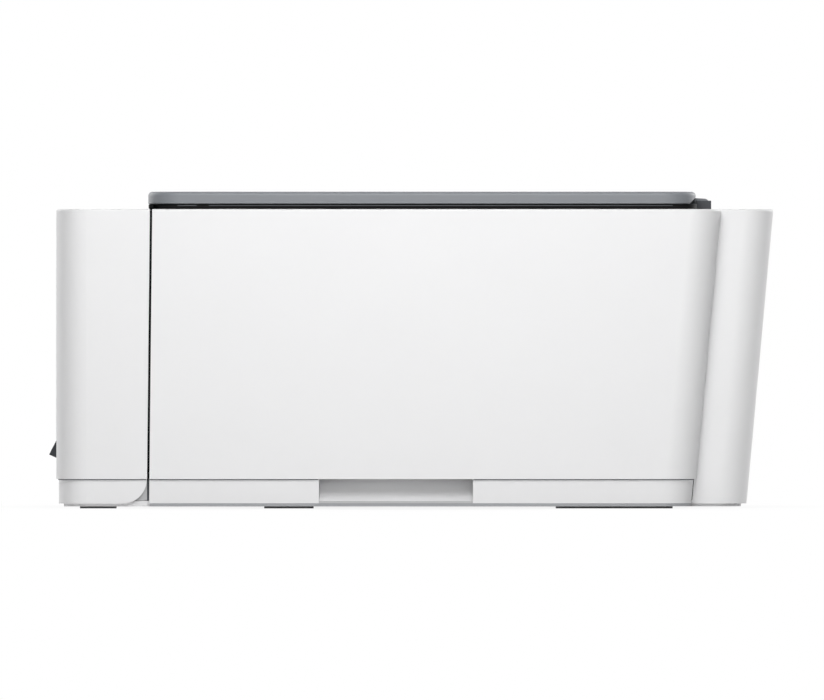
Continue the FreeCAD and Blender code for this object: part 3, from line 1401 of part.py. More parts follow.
def tube_run(x0, x1, y0, turn_y, y1):
    """One tube that steps sideways between two straight runs along Y."""
    side = 1 if x1 > x0 else -1
    bend = min(TUBE_BEND, abs(x1 - x0) / 2)
    corner = bend * (1 - math.sqrt(0.5))
    before = [vec(x0, y0, TUBE_Z), vec(x0, turn_y - bend, TUBE_Z)]
    across = [vec(x0 + side * bend, turn_y, TUBE_Z), vec(x1 - side * bend, turn_y, TUBE_Z)]
    after = [vec(x1, turn_y + bend, TUBE_Z), vec(x1, y1, TUBE_Z)]
    first_mid = vec(x0 + side * corner, turn_y - corner, TUBE_Z)
    second_mid = vec(x1 - side * corner, turn_y + corner, TUBE_Z)
    edges = [Part.LineSegment(*before).toShape(), Part.Arc(before[1], first_mid, across[0]).toShape()]
    if across[0].distanceToPoint(across[1]) > NEAR:
        edges.append(Part.LineSegment(*across).toShape())
    edges += [Part.Arc(across[1], second_mid, after[0]).toShape(), Part.LineSegment(*after).toShape()]
    section = Part.Wire(Part.makeCircle(TUBE_R, before[0], vec(0, 1, 0)))
    return Part.Wire(edges).makePipeShell([section], True, True)


def pieces():
    """Every node's name with its solid or group of solids."""
    spans = tank_spans()
    caps = ("black_cap", "cyan_cap", "magenta_cap", "yellow_cap")
    right_panel = side_panel()
    made = {
        "base_pan": base_pan(), "front_skirt": front_skirt(), "front_cabinet": front_cabinet(),
        "right_side_panel": right_panel, "left_side_panel": mirrored(right_panel),
        "rear_shroud": rear_shroud(), "rubber_feet": rubber_feet(), "case_screws": case_screws(),
        "tank_window": tank_window(), "ink_tanks": ink_tanks(), "tank_lid": tank_lid(),
        "ink_tubes": ink_tubes(),
        "control_panel": control_panel(), "output_tray": output_tray(), "tray_extender": tray_extender(),
        "scanner_bed": scanner_bed(), "scanner_deck": scanner_deck(), "scanner_glass": scanner_glass(),
        "scan_bar": scan_bar(), "lid_hinges": lid_hinges(), "lid_shell": lid_shell(), "lid_pad": lid_pad(),
        "input_flap": input_flap(), "paper_support": paper_support(), "paper_ramp": paper_ramp(),
        "right_paper_guide": on_ramp(right_guide()), "left_paper_guide": on_ramp(left_guide()),
        "guide_pinion": guide_pinion(),
        "chassis_frame": chassis_frame(), "carriage_rod": carriage_rod(), "carriage": carriage(),
        "printhead": printhead(), "encoder_strip": encoder_strip(), "drive_belt": drive_belt(),
        "motor_pulley": motor_pulley(), "idler_pulley": idler_pulley(), "drive_motors": drive_motors(),
        "feed_roller": feed_roller(), "feed_gear": feed_gear(), "idler_gear": idler_gear(),
        "exit_roller": exit_roller(), "motor_pinion": motor_pinion(), "pick_roller": pick_roller(),
        "pinch_rollers": pinch_rollers(), "star_wheels": star_wheels(), "roller_holders": roller_holders(),
        "platen": platen(), "service_station": service_station(), "head_cap": head_cap(),
        "circuit_boards": circuit_boards(), "power_supply": power_supply(),
    }
    made.update({name: tank_cap(*span) for name, span in zip(caps, spans)})
    made.update({name: button(x, radius) for name, x, radius in button_places()})
    return made


def main():
    os.makedirs("parts", exist_ok=True)
    for name, shape in pieces().items():
        shape.exportStep("parts/" + name + ".step")


main()
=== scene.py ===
import json
import math

import bmesh
import bpy
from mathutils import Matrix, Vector


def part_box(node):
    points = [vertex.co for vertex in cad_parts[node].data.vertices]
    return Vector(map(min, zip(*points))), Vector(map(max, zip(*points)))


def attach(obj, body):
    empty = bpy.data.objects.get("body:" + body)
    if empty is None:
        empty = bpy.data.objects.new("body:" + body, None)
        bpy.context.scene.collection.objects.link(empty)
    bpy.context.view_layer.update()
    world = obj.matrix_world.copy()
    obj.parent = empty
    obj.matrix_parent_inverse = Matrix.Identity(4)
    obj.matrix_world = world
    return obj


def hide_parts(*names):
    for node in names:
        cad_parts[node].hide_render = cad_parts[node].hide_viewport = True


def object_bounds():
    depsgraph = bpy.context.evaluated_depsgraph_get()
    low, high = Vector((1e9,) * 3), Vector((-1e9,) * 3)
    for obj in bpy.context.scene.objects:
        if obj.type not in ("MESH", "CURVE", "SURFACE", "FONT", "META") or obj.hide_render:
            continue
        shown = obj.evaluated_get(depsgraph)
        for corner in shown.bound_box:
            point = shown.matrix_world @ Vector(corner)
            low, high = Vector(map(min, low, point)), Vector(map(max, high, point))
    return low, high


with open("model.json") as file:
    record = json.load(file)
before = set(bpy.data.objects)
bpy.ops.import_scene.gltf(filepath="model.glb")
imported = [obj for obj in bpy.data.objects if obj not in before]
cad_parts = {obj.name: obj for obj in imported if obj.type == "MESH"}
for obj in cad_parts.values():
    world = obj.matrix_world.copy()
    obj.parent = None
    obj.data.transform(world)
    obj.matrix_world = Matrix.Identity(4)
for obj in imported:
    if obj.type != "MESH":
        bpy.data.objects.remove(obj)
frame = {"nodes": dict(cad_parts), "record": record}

# The frame is in metres, with X to the right, Y to the back and Z up.
# Sizes and places of the pieces below are in millimetres in that frame.
MM = 0.001
cad_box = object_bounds()
scene = bpy.context.scene
scene.view_settings.view_transform = "Standard"

# Camera: level and square to the right-hand side. CAMERA_X is in metres, SENSOR in millimetres.
PHOTO_WIDTH_PX = 824
PHOTO_HEIGHT_PX = 700
MM_PER_PX = 0.4966
OBJECT_MIDDLE_PX = 410.0
FLOOR_LINE_PX = 508.5
CAMERA_X = 16.0
SENSOR = 36.0


def add_camera():
    """Aim the camera so that the near side has the photograph's scale and place."""
    near_side = cad_box[1][0]
    aim_y = (PHOTO_WIDTH_PX / 2 - OBJECT_MIDDLE_PX) * MM_PER_PX * MM
    aim_z = (FLOOR_LINE_PX - PHOTO_HEIGHT_PX / 2) * MM_PER_PX * MM
    bpy.ops.object.camera_add(location=(CAMERA_X, aim_y, aim_z), rotation=(math.pi / 2, 0, math.pi / 2))
    camera = bpy.context.object
    camera.name = "side_camera"
    camera.data.sensor_width = SENSOR
    camera.data.lens = SENSOR * (CAMERA_X - near_side) / (PHOTO_WIDTH_PX * MM_PER_PX * MM)
    camera.data.clip_end = 2 * CAMERA_X
    scene.camera = camera


# Surface effects shared by several finishes
def effect_group(name, inputs, outputs):
    """An empty shader group with the named sockets, and its two end nodes."""
    group = bpy.data.node_groups.new(name, "ShaderNodeTree")
    for label, kind, value in inputs:
        socket = group.interface.new_socket(label, in_out="INPUT", socket_type=kind)
        if value is not None:
            socket.default_value = value
    for label, kind in outputs:
        group.interface.new_socket(label, in_out="OUTPUT", socket_type=kind)
    start = group.nodes.new("NodeGroupInput")
    end = group.nodes.new("NodeGroupOutput")
    return group, start, end


def math_node(tree, operation, first, second):
    """A math node fed by sockets or numbers."""
    node = tree.nodes.new("ShaderNodeMath")
    node.operation = operation
    for place, value in enumerate((first, second)):
        if isinstance(value, (int, float)):
            node.inputs[place].default_value = value
        else:
            tree.links.new(value, node.inputs[place])
    return node.outputs[0]


def mix_colours(tree, share, first, second, blend="MIX"):
    """A colour mix fed by sockets or fixed colours."""
    node = tree.nodes.new("ShaderNodeMix")
    node.data_type = "RGBA"
    node.blend_type = blend
    for place, value in ((0, share), (6, first), (7, second)):
        if isinstance(value, (int, float, tuple)):
            node.inputs[place].default_value = value
        else:
            tree.links.new(value, node.inputs[place])
    return node.outputs[2]


def noise_node(tree, vector, scale, detail):
    """Noise with its scale fed by a socket or a number."""
    node = tree.nodes.new("ShaderNodeTexNoise")
    node.inputs["Detail"].default_value = detail
    tree.links.new(vector, node.inputs["Vector"])
    if isinstance(scale, (int, float)):
        node.inputs["Scale"].default_value = scale
    else:
        tree.links.new(scale, node.inputs["Scale"])
    return node.outputs["Fac"]


NOISE_MIDDLE = 0.5
GRAIN_CLOUD_SCALE = 14.0
GLOSS_PER_SHADE = 2.0
GLOSS_PER_GRAIN = 0.12


def moulded_grain_group():
    """Spark-eroded mould grain: fine bumps, with faint drift in tint and gloss."""
    group, start, end = effect_group(
        "moulded_grain",
        [("Vector", "NodeSocketVector", None), ("Tint", "NodeSocketColor", (1, 1, 1, 1)),
         ("Grain Scale", "NodeSocketFloat", 2500.0), ("Drift", "NodeSocketFloat", 0.03),
         ("Roughness", "NodeSocketFloat", 0.5)],
        [("Color", "NodeSocketColor"), ("Roughness", "NodeSocketFloat"), ("Height", "NodeSocketFloat")])
    where = start.outputs["Vector"]
    grain = noise_node(group, where, start.outputs["Grain Scale"], detail=2.0)
    cloud = noise_node(group, where, GRAIN_CLOUD_SCALE, detail=3.0)
    sway = math_node(group, "SUBTRACT", cloud, NOISE_MIDDLE)
    shade = math_node(group, "MULTIPLY", sway, start.outputs["Drift"])
    level = math_node(group, "ADD", shade, 1.0)
    tinted = mix_colours(group, 1.0, start.outputs["Tint"], level, "MULTIPLY")
    broad = math_node(group, "MULTIPLY", shade, GLOSS_PER_SHADE)
    gloss = math_node(group, "ADD", start.outputs["Roughness"], broad)
    speck = math_node(group, "SUBTRACT", grain, NOISE_MIDDLE)
    fine = math_node(group, "MULTIPLY", speck, GLOSS_PER_GRAIN)
    group.links.new(tinted, end.inputs["Color"])
    group.links.new(math_node(group, "ADD", gloss, fine), end.inputs["Roughness"])
    group.links.new(grain, end.inputs["Height"])
    return group


LINE_STRETCH = (0.03, 1.0, 1.0)
LINE_CLOUD_SCALE = 30.0
LINE_SHADE = 0.16
GLOSS_PER_CLOUD = 0.15
GLOSS_PER_LINE = 0.1


def drawn_lines_group():
    """Fine lines along X, as on drawn shafts and rolled sheet."""
    group, start, end = effect_group(
        "drawn_lines",
        [("Vector", "NodeSocketVector", None), ("Tint", "NodeSocketColor", (1, 1, 1, 1)),
         ("Line Scale", "NodeSocketFloat", 900.0), ("Roughness", "NodeSocketFloat", 0.3)],
        [("Color", "NodeSocketColor"), ("Roughness", "NodeSocketFloat"), ("Height", "NodeSocketFloat")])
    stretch = group.nodes.new("ShaderNodeMapping")
    stretch.inputs["Scale"].default_value = LINE_STRETCH
    group.links.new(start.outputs["Vector"], stretch.inputs["Vector"])
    lines = noise_node(group, stretch.outputs["Vector"], start.outputs["Line Scale"], detail=3.0)
    cloud = noise_node(group, start.outputs["Vector"], LINE_CLOUD_SCALE, detail=2.0)
    shade = math_node(group, "MULTIPLY", lines, LINE_SHADE)
    level = math_node(group, "ADD", shade, 1.0 - LINE_SHADE / 2)
    tinted = mix_colours(group, 1.0, start.outputs["Tint"], level, "MULTIPLY")
    broad = math_node(group, "MULTIPLY", cloud, GLOSS_PER_CLOUD)
    gloss = math_node(group, "ADD", start.outputs["Roughness"], broad)
    fine = math_node(group, "MULTIPLY", lines, GLOSS_PER_LINE)
    group.links.new(tinted, end.inputs["Color"])
    group.links.new(math_node(group, "ADD", gloss, fine), end.inputs["Roughness"])
    group.links.new(lines, end.inputs["Height"])
    return group


def axle_mask_group():
    """1 beyond a radius from a line along X, 0 inside it: the tyre on a shaft."""
    group, start, end = effect_group(
        "axle_mask",
        [("Vector", "NodeSocketVector", None), ("Y", "NodeSocketFloat", 0.0), ("Z", "NodeSocketFloat", 0.0),
         ("Radius", "NodeSocketFloat", 0.004)],
        [("Mask", "NodeSocketFloat")])
    split = group.nodes.new("ShaderNodeSeparateXYZ")
    group.links.new(start.outputs["Vector"], split.inputs[0])
    across = math_node(group, "SUBTRACT", split.outputs["Y"], start.outputs["Y"])
    up = math_node(group, "SUBTRACT", split.outputs["Z"], start.outputs["Z"])
    across_square = math_node(group, "MULTIPLY", across, across)
    up_square = math_node(group, "MULTIPLY", up, up)
    reach = math_node(group, "POWER", math_node(group, "ADD", across_square, up_square), 0.5)
    group.links.new(math_node(group, "GREATER_THAN", reach, start.outputs["Radius"]), end.inputs["Mask"])
    return group


GRAIN = moulded_grain_group()
LINES = drawn_lines_group()
AXLE = axle_mask_group()


# Finishes: bump depths are in metres, grain and line scales in cells per metre
BUMP_STRENGTH = 0.6
METAL_LINE_DEPTH = 0.00002


def new_finish(name):
    """A material with its shader, its coordinates and its node tree."""
    finish = bpy.data.materials.new(name)
    finish.use_nodes = True
    tree = finish.node_tree
    shader = tree.nodes["Principled BSDF"]
    where = tree.nodes.new("ShaderNodeTexCoord").outputs["Object"]
    return finish, tree, shader, where


def place_group(tree, group, where, **values):
    """A shared effect in a finish, with its settings."""
    node = tree.nodes.new("ShaderNodeGroup")
    node.node_tree = group
    tree.links.new(where, node.inputs["Vector"])
    for label, value in values.items():
        node.inputs[label.replace("_", " ")].default_value = value
    return node


def bump(tree, shader, height, depth):
    """Let a height pattern stand out from the surface."""
    node = tree.nodes.new("ShaderNodeBump")
    node.inputs["Strength"].default_value = BUMP_STRENGTH
    node.inputs["Distance"].default_value = depth
    tree.links.new(height, node.inputs["Height"])
    tree.links.new(node.outputs["Normal"], shader.inputs["Normal"])


def feed_surface(tree, shader, node):
    """Let an effect set the surface's colour and roughness."""
    tree.links.new(node.outputs["Color"], shader.inputs["Base Color"])
    tree.links.new(node.outputs["Roughness"], shader.inputs["Roughness"])


def moulded(name, tint, roughness, grain=2500.0, depth=0.00003, drift=0.03, coat=0.0, shine=0.5):
    """A moulded plastic or rubber with its own grain."""
    finish, tree, shader, where = new_finish(name)
    node = place_group(tree, GRAIN, where, Tint=(*tint, 1), Grain_Scale=grain, Drift=drift,
                       Roughness=roughness)
    feed_surface(tree, shader, node)
    bump(tree, shader, node.outputs["Height"], depth)
    shader.inputs["Coat Weight"].default_value = coat
    shader.inputs["Specular IOR Level"].default_value = shine
    return finish


def milky(name, tint, roughness, cover):
    """Natural plastic that lets its contents show through."""
    finish = moulded(name, tint, roughness, grain=1200.0, depth=0.00002)
    finish.node_tree.nodes["Principled BSDF"].inputs["Alpha"].default_value = cover
    return finish


def drawn_metal(name, tint, roughness, lines=900.0):
    """Bare metal with fine lines along X."""
    finish, tree, shader, where = new_finish(name)
    node = place_group(tree, LINES, where, Tint=(*tint, 1), Line_Scale=lines, Roughness=roughness)
    feed_surface(tree, shader, node)
    bump(tree, shader, node.outputs["Height"], METAL_LINE_DEPTH)
    shader.inputs["Metallic"].default_value = 1.0
    return finish


def clear(name, tint, roughness, ior, transmission):
    """Glass or clear plastic with a faint haze."""
    finish, tree, shader, where = new_finish(name)
    node = place_group(tree, GRAIN, where, Tint=(*tint, 1), Grain_Scale=900.0, Drift=0.02,
                       Roughness=roughness)
    feed_surface(tree, shader, node)
    shader.inputs["Transmission Weight"].default_value = transmission
    shader.inputs["IOR"].default_value = ior
    return finish


def tyred_shaft(name, node_name, radius, tyre, shaft):
    """Steel where the piece is thin round its axle, rubber or plastic where it is thicker."""
    low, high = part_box(node_name)
    finish, tree, shader, where = new_finish(name)
    mask = place_group(tree, AXLE, where, Y=(low.y + high.y) / 2, Z=(low.z + high.z) / 2, Radius=radius)
    skin = place_group(tree, GRAIN, where, Tint=(*tyre, 1), Grain_Scale=1800.0, Drift=0.06, Roughness=0.75)
    steel = place_group(tree, LINES, where, Tint=(*shaft, 1), Line_Scale=900.0, Roughness=0.22)
    thick = mask.outputs["Mask"]
    colour = mix_colours(tree, thick, steel.outputs["Color"], skin.outputs["Color"])
    tree.links.new(colour, shader.inputs["Base Color"])
    rough = mix_colours(tree, thick, steel.outputs["Roughness"], skin.outputs["Roughness"])
    tree.links.new(rough, shader.inputs["Roughness"])
    tree.links.new(math_node(tree, "SUBTRACT", 1.0, thick), shader.inputs["Metallic"])
    bump(tree, shader, skin.outputs["Height"], depth=0.00004)
    return finish


def wave_node(tree, where, scale):
    """Even bands across X."""
    wave = tree.nodes.new("ShaderNodeTexWave")
    wave.inputs["Scale"].default_value = scale
    tree.links.new(where, wave.inputs["Vector"])
    return wave.outputs["Fac"]


def ruled_film():
    """The encoder strip: grey film with fine dark rules."""
    film = (0.5, 0.5, 0.52, 1)
    ink = (0.05, 0.05, 0.055, 1)
    finish, tree, shader, where = new_finish("ruled_film")
    rule = math_node(tree, "GREATER_THAN", wave_node(tree, where, scale=120.0), 0.5)
    tree.links.new(mix_colours(tree, rule, film, ink), shader.inputs["Base Color"])
    shader.inputs["Roughness"].default_value = 0.25
    return finish


def ribbed_rubber():
    """The drive belt: black rubber with fine ribs across it."""
    finish, tree, shader, where = new_finish("ribbed_rubber")
    ribs = wave_node(tree, where, scale=80.0)
    skin = place_group(tree, GRAIN, where, Tint=(0.02, 0.02, 0.021, 1), Grain_Scale=1500.0, Drift=0.05,
                       Roughness=0.7)
    feed_surface(tree, shader, skin)
    bump(tree, shader, ribs, depth=0.0004)
    return finish


# moulded: name, tint, roughness, then grain scale, bump depth, drift and coat where they differ
# drawn_metal: name, tint, roughness, line scale
# clear: name, tint, roughness, index of refraction, transmission
FINISHES = {
    "white_shell": moulded("white_shell", (0.86, 0.86, 0.865), 0.46),
    "base_grey": moulded("base_grey", (0.84, 0.84, 0.845), 0.5),
    # A darker copy of the base's grey: painted shade for the base's surfaces in the seams and hand-holds
    "painted_shade_grey": moulded("painted_shade_grey", (0.54, 0.54, 0.545), 0.5),
    "foot_rubber": moulded("foot_rubber", (0.30, 0.30, 0.303), 0.8, 1400.0, 0.00006, shine=0.2),
    "screw_steel": drawn_metal("screw_steel", (0.52, 0.52, 0.53), 0.32),
    "lid_grey": moulded("lid_grey", (0.215, 0.227, 0.245), 0.48, 1800.0, 0.00005, 0.04),
    "deck_black": moulded("deck_black", (0.006, 0.006, 0.0065), 0.5, shine=0.07),
    "hinge_grey": moulded("hinge_grey", (0.046, 0.050, 0.058), 0.5),
    "foam_white": moulded("foam_white", (0.86, 0.86, 0.85), 0.85, 900.0, 0.0001),
    "clear_glass": clear("clear_glass", (0.93, 0.97, 0.96), 0.02, 1.5, 1.0),
    "window_smoke": clear("window_smoke", (0.86, 0.87, 0.89), 0.03, 1.3, 1.0),
    "tank_clear": milky("tank_clear", (0.86, 0.87, 0.88), 0.35, 0.05),
    "cap_black": moulded("cap_black", (0.02, 0.02, 0.021), 0.45),
    "cap_cyan": moulded("cap_cyan", (0.0, 0.27, 0.52), 0.45),
    "cap_magenta": moulded("cap_magenta", (0.5, 0.015, 0.16), 0.45),
    "cap_yellow": moulded("cap_yellow", (0.78, 0.55, 0.01), 0.45),
    "panel_black": moulded("panel_black", (0.012, 0.012, 0.0135), 0.42, 3000.0, 0.000008, 0.02, shine=0.15),
    "button_grey": moulded("button_grey", (0.36, 0.37, 0.385), 0.45),
    "tray_dark": moulded("tray_dark", (0.076, 0.082, 0.093), 0.5, 1800.0, 0.00004, shine=0.3),
    "inner_black": moulded("inner_black", (0.022, 0.022, 0.024), 0.55, 1600.0, 0.00005),
    "frame_steel": drawn_metal("frame_steel", (0.56, 0.57, 0.58), 0.34, 600.0),
    "shaft_steel": drawn_metal("shaft_steel", (0.68, 0.68, 0.69), 0.16),
    "gear_plastic": moulded("gear_plastic", (0.72, 0.70, 0.64), 0.5, 2000.0),
    "roller_rubber": moulded("roller_rubber", (0.05, 0.05, 0.052), 0.8, 1500.0, 0.00008),
    "belt_rubber": ribbed_rubber(),
    "board_green": moulded("board_green", (0.01, 0.11, 0.035), 0.35, 700.0, 0.00003, 0.08),
    "tube_clear": moulded("tube_clear", (0.55, 0.55, 0.57), 0.3, 1200.0, 0.00002, 0.04, 0.2),
    "strip_clear": ruled_film(),
    "status_green": moulded("status_green", (0.12, 0.55, 0.16), 0.25, 1500.0, 0.00001, 0.05, 0.5),
    "status_blue": moulded("status_blue", (0.08, 0.24, 0.62), 0.25, 1500.0, 0.00001, 0.05, 0.5),
    "status_amber": moulded("status_amber", (0.72, 0.33, 0.03), 0.25, 1500.0, 0.00001, 0.05, 0.5),
}

# Rollers on a steel shaft: the shaft's radius in metres, and the tyre's tint
SHAFT_TINT = (0.66, 0.66, 0.67)
SOFT_TYRE = (0.05, 0.05, 0.052)
TYRES = {
    "feed_roller": (0.0045, (0.16, 0.16, 0.165)),
    "exit_roller": (0.0045, SOFT_TYRE),
    "pick_roller": (0.0045, SOFT_TYRE),
    "pinch_rollers": (0.002, (0.72, 0.70, 0.64)),
    "star_wheels": (0.0016, (0.4, 0.4, 0.41)),
}


def dress_nodes():
    """Give every carried-over node its slot's finish, and the rollers their two-part ones."""
    for row in frame["record"]["subparts"]:
        node = frame["nodes"][row["node"]]
        node.data.materials.clear()
        node.data.materials.append(FINISHES[row["material_slot"]])
    for name, (radius, tyre) in TYRES.items():
        finish = tyred_shaft(name + "_finish", name, radius, tyre, SHAFT_TINT)
        frame["nodes"][name].data.materials[0] = finish


# Modelling steps shared by the pieces
ALIGNED = 0.9  # cosine above which a normal or an edge counts as lying along an axis
SMOOTH_BELOW = math.radians(35)
UP = Vector((0, 0, 1))
FORWARD = Vector((0, 1, 0))


def node_span(name):
    """A node's corners in millimetres."""
    low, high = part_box(name)
    return low / MM, high / MM


def deselect():
    """Leave edit mode and select nothing."""
    if bpy.context.mode != "OBJECT":
        bpy.ops.object.mode_set(mode="OBJECT")
    bpy.ops.object.select_all(action="DESELECT")


def keep_place(piece):
    """Put the piece's place into its mesh, with its object at the origin."""
    deselect()
    piece.select_set(True)
    bpy.context.view_layer.objects.active = piece
    bpy.ops.object.transform_apply(location=True, rotation=True, scale=True)


def block(name, low, high):
    """A block between two corners, ready to be shaped."""
    deselect()
    low, high = Vector(low) * MM, Vector(high) * MM
    bpy.ops.mesh.primitive_cube_add(size=1.0, location=(low + high) / 2)
    piece = bpy.context.object
    piece.name = name
    piece.scale = high - low
    keep_place(piece)
    return piece


def disc(name, middle, radius, depth, vertices=24, rotation=(0, 0, 0)):
    """A cylinder placed by its middle."""
    deselect()
    bpy.ops.mesh.primitive_cylinder_add(vertices=vertices, radius=radius * MM, depth=depth * MM,
                                        location=Vector(middle) * MM, rotation=rotation)
    piece = bpy.context.object
    piece.name = name
    keep_place(piece)
    return piece


def choose_faces(piece, test):
    """In edit mode, select the faces whose normal passes the test."""
    bpy.context.view_layer.objects.active = piece
    bpy.ops.object.mode_set(mode="EDIT")
    bpy.ops.mesh.select_mode(type="FACE")
    bpy.ops.mesh.select_all(action="DESELECT")
    mesh = bmesh.from_edit_mesh(piece.data)
    for face in mesh.faces:
        face.select_set(bool(test(face.normal)))
    bmesh.update_edit_mesh(piece.data)


def choose_edges(piece, test):
    """In edit mode, select the edges whose direction and middle pass the test."""
    bpy.context.view_layer.objects.active = piece
    bpy.ops.object.mode_set(mode="EDIT")
    bpy.ops.mesh.select_mode(type="EDGE")
    bpy.ops.mesh.select_all(action="DESELECT")
    mesh = bmesh.from_edit_mesh(piece.data)
    for edge in mesh.edges:
        first, second = (corner.co for corner in edge.verts)
        edge.select_set(bool(test((second - first).normalized(), (first + second) / 2 / MM)))
    bmesh.update_edit_mesh(piece.data)


def upright(direction, middle):
    return abs(direction.z) > ALIGNED


def front_to_back(direction, middle):
    return abs(direction.y) > ALIGNED


def facing_up(normal):
    return normal.z > ALIGNED


def facing_down(normal):
    return normal.z < -ALIGNED


def facing_front(normal):
    return normal.y < -ALIGNED


def round_chosen(radius, segments):
    """Round the chosen edges and leave edit mode."""
    bpy.ops.mesh.bevel(offset=radius * MM, segments=segments, affect="EDGES")
    bpy.ops.object.mode_set(mode="OBJECT")


def step_chosen(inset, rise):
    """Inset the chosen face and move its middle up, or down where the rise is negative."""
    bpy.ops.mesh.inset(thickness=inset * MM)
    bpy.ops.transform.translate(value=(0, 0, rise * MM))


def soften(piece, width, segments=3):
    """Round every sharp edge."""
    deselect()
    piece.select_set(True)
    bpy.context.view_layer.objects.active = piece
    rounding = piece.modifiers.new("soft_edges", "BEVEL")
    rounding.width = width * MM
    rounding.segments = segments
    rounding.limit_method = "ANGLE"
    bpy.ops.object.modifier_apply(modifier=rounding.name)
    bpy.ops.object.shade_smooth_by_angle(angle=SMOOTH_BELOW)


def close_mesh(piece):
    """Merge doubled corners and turn every face outwards."""
    bpy.context.view_layer.objects.active = piece
    bpy.ops.object.mode_set(mode="EDIT")
    bpy.ops.mesh.select_all(action="SELECT")
    bpy.ops.mesh.remove_doubles(threshold=1e-7)
    bpy.ops.mesh.normals_make_consistent(inside=False)
    bpy.ops.object.mode_set(mode="OBJECT")


def hollow(piece, line, across):
    """Take the middle out of a plate that lies across a direction, leaving a line round it."""
    choose_faces(piece, lambda normal: abs(normal.dot(across)) > ALIGNED)
    bpy.ops.mesh.inset(thickness=line * MM, use_individual=True)
    bpy.ops.mesh.bridge_edge_loops()
    bpy.ops.object.mode_set(mode="OBJECT")
    close_mesh(piece)


def outline(name, low, high, line, across):
    """A rectangular line round a plate's edge."""
    piece = block(name, low, high)
    hollow(piece, line, across)
    return piece


def combine(name, pieces):
    """Join shaped pieces into one."""
    deselect()
    for piece in pieces:
        piece.select_set(True)
    bpy.context.view_layer.objects.active = pieces[0]
    bpy.ops.object.join()
    whole = bpy.context.object
    whole.name = name
    keep_place(whole)
    return whole


def copied(piece, name, shift=(0, 0, 0), mirror=False):
    """A copy with its own mesh, moved along or mirrored to the left-hand side."""
    deselect()
    piece.select_set(True)
    bpy.context.view_layer.objects.active = piece
    bpy.ops.object.duplicate()
    twin = bpy.context.object
    twin.name = name
    twin.location = Vector(shift) * MM
    if mirror:
        twin.scale.x = -1
    keep_place(twin)
    if mirror:
        close_mesh(twin)
    return twin


def finish_piece(piece, finish, body):
    """Give a piece its finish and the body that it moves with."""
    bpy.ops.object.mode_set(mode="OBJECT")
    piece.data.materials.clear()
    piece.data.materials.append(FINISHES[finish])
    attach(piece, body)
    return piece


def both_sides(piece, finish, body):
    """Finish a right-hand piece and its left-hand twin."""
    twin = copied(piece, piece.name.replace("right", "left"), mirror=True)
    finish_piece(piece, finish, body)
    finish_piece(twin, finish, body)


def arc_band(name, middle, radius, width, height, facing, sweep, steps=16):
    """A flat band bent round an upright axis: one small face, spun clockwise from its far end."""
    deselect()
    start = math.radians(facing + sweep / 2)
    out = Vector((math.cos(start), math.sin(start), 0)) * radius
    place = (Vector(middle) + out + Vector((0, 0, height / 2))) * MM
    bpy.ops.mesh.primitive_plane_add(size=1.0, location=place, rotation=(math.pi / 2, 0, start))
    band = bpy.context.object
    band.name = name
    band.scale = (width * MM, height * MM, 1)
    keep_place(band)
    bpy.ops.object.mode_set(mode="EDIT")
    bpy.ops.mesh.select_all(action="SELECT")
    bpy.ops.mesh.spin(steps=steps, angle=math.radians(sweep), center=Vector(middle) * MM, axis=(0, 0, 1))
    bpy.ops.object.mode_set(mode="OBJECT")
    close_mesh(band)
    return band


STROKE_END = 0.45  # radius of a stroke's corners, as a share of its width


def stroke(name, middle, length, width, height, turn):
    """A thin bar with rounded ends that lies flat, turned about the vertical."""
    deselect()
    place = (Vector(middle) + Vector((0, 0, height / 2))) * MM
    bpy.ops.mesh.primitive_cube_add(size=1.0, location=place, rotation=(0, 0, math.radians(turn)))
    bar = bpy.context.object
    bar.name = name
    bar.scale = (length * MM, width * MM, height * MM)
    keep_place(bar)
    choose_edges(bar, upright)
    round_chosen(STROKE_END * width, segments=4)
    return bar


# A lens's dome and edge, as shares of its radius and height
DOME_INSET = 0.45
DOME_RISE = 0.4
LENS_EDGE = 0.15


def lens(name, middle, radius, height):
    """A small round lens with a domed top."""
    piece = disc(name, Vector(middle) + Vector((0, 0, height / 2)), radius, height)
    choose_faces(piece, facing_up)
    step_chosen(DOME_INSET * radius, DOME_RISE * height)
    soften(piece, LENS_EDGE * radius, segments=2)
    return piece


# The document cover's foam
PAD_CORNER = 5.0
CROWN_INSET = 4.0
CROWN_RISE = 0.1
PAD_EDGE = 1.2


def foam_pad():
    """The document cover's foam sheet, with rounded corners and a crowned face."""
    pad = block("foam_pad", *node_span("lid_pad"))
    choose_edges(pad, upright)
    round_chosen(PAD_CORNER, segments=6)
    choose_faces(pad, facing_down)
    step_chosen(CROWN_INSET, -CROWN_RISE)
    soften(pad, PAD_EDGE)
    finish_piece(pad, "foam_white", "lid")
    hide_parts("lid_pad")


# Ink: each tank's width, and its fill as a share of the height up to the window's top
TANK_WALL = 1.5
TANK_GAP = 2.0
INKS = {"black": (44.0, 0.80), "cyan": (22.0, 0.66), "magenta": (22.0, 0.72), "yellow": (22.0, 0.58)}
INK_GAP = 0.3
INK_CORNER = 1.2
WETTED_EDGE = 1.0
WETTED_RISE = 0.6
INK_EDGE = 0.3


def ink_in_tanks():
    """Ink in each tank, with a raised edge where it wets the walls."""
    low, high = node_span("ink_tanks")
    window_top = node_span("tank_window")[1].z
    inset = TANK_WALL + INK_GAP
    left = low.x
    for name, (width, share) in INKS.items():
        top = low.z + share * (window_top - low.z)
        ink = block(name + "_ink", (left + inset, low.y + inset, low.z + inset),
                    (left + width - inset, high.y - inset, top))
        choose_edges(ink, upright)
        round_chosen(INK_CORNER, segments=3)
        choose_faces(ink, facing_up)
        step_chosen(WETTED_EDGE, -WETTED_RISE)
        soften(ink, INK_EDGE, segments=2)
        finish_piece(ink, "cap_" + name, "body")
        left += width + TANK_GAP
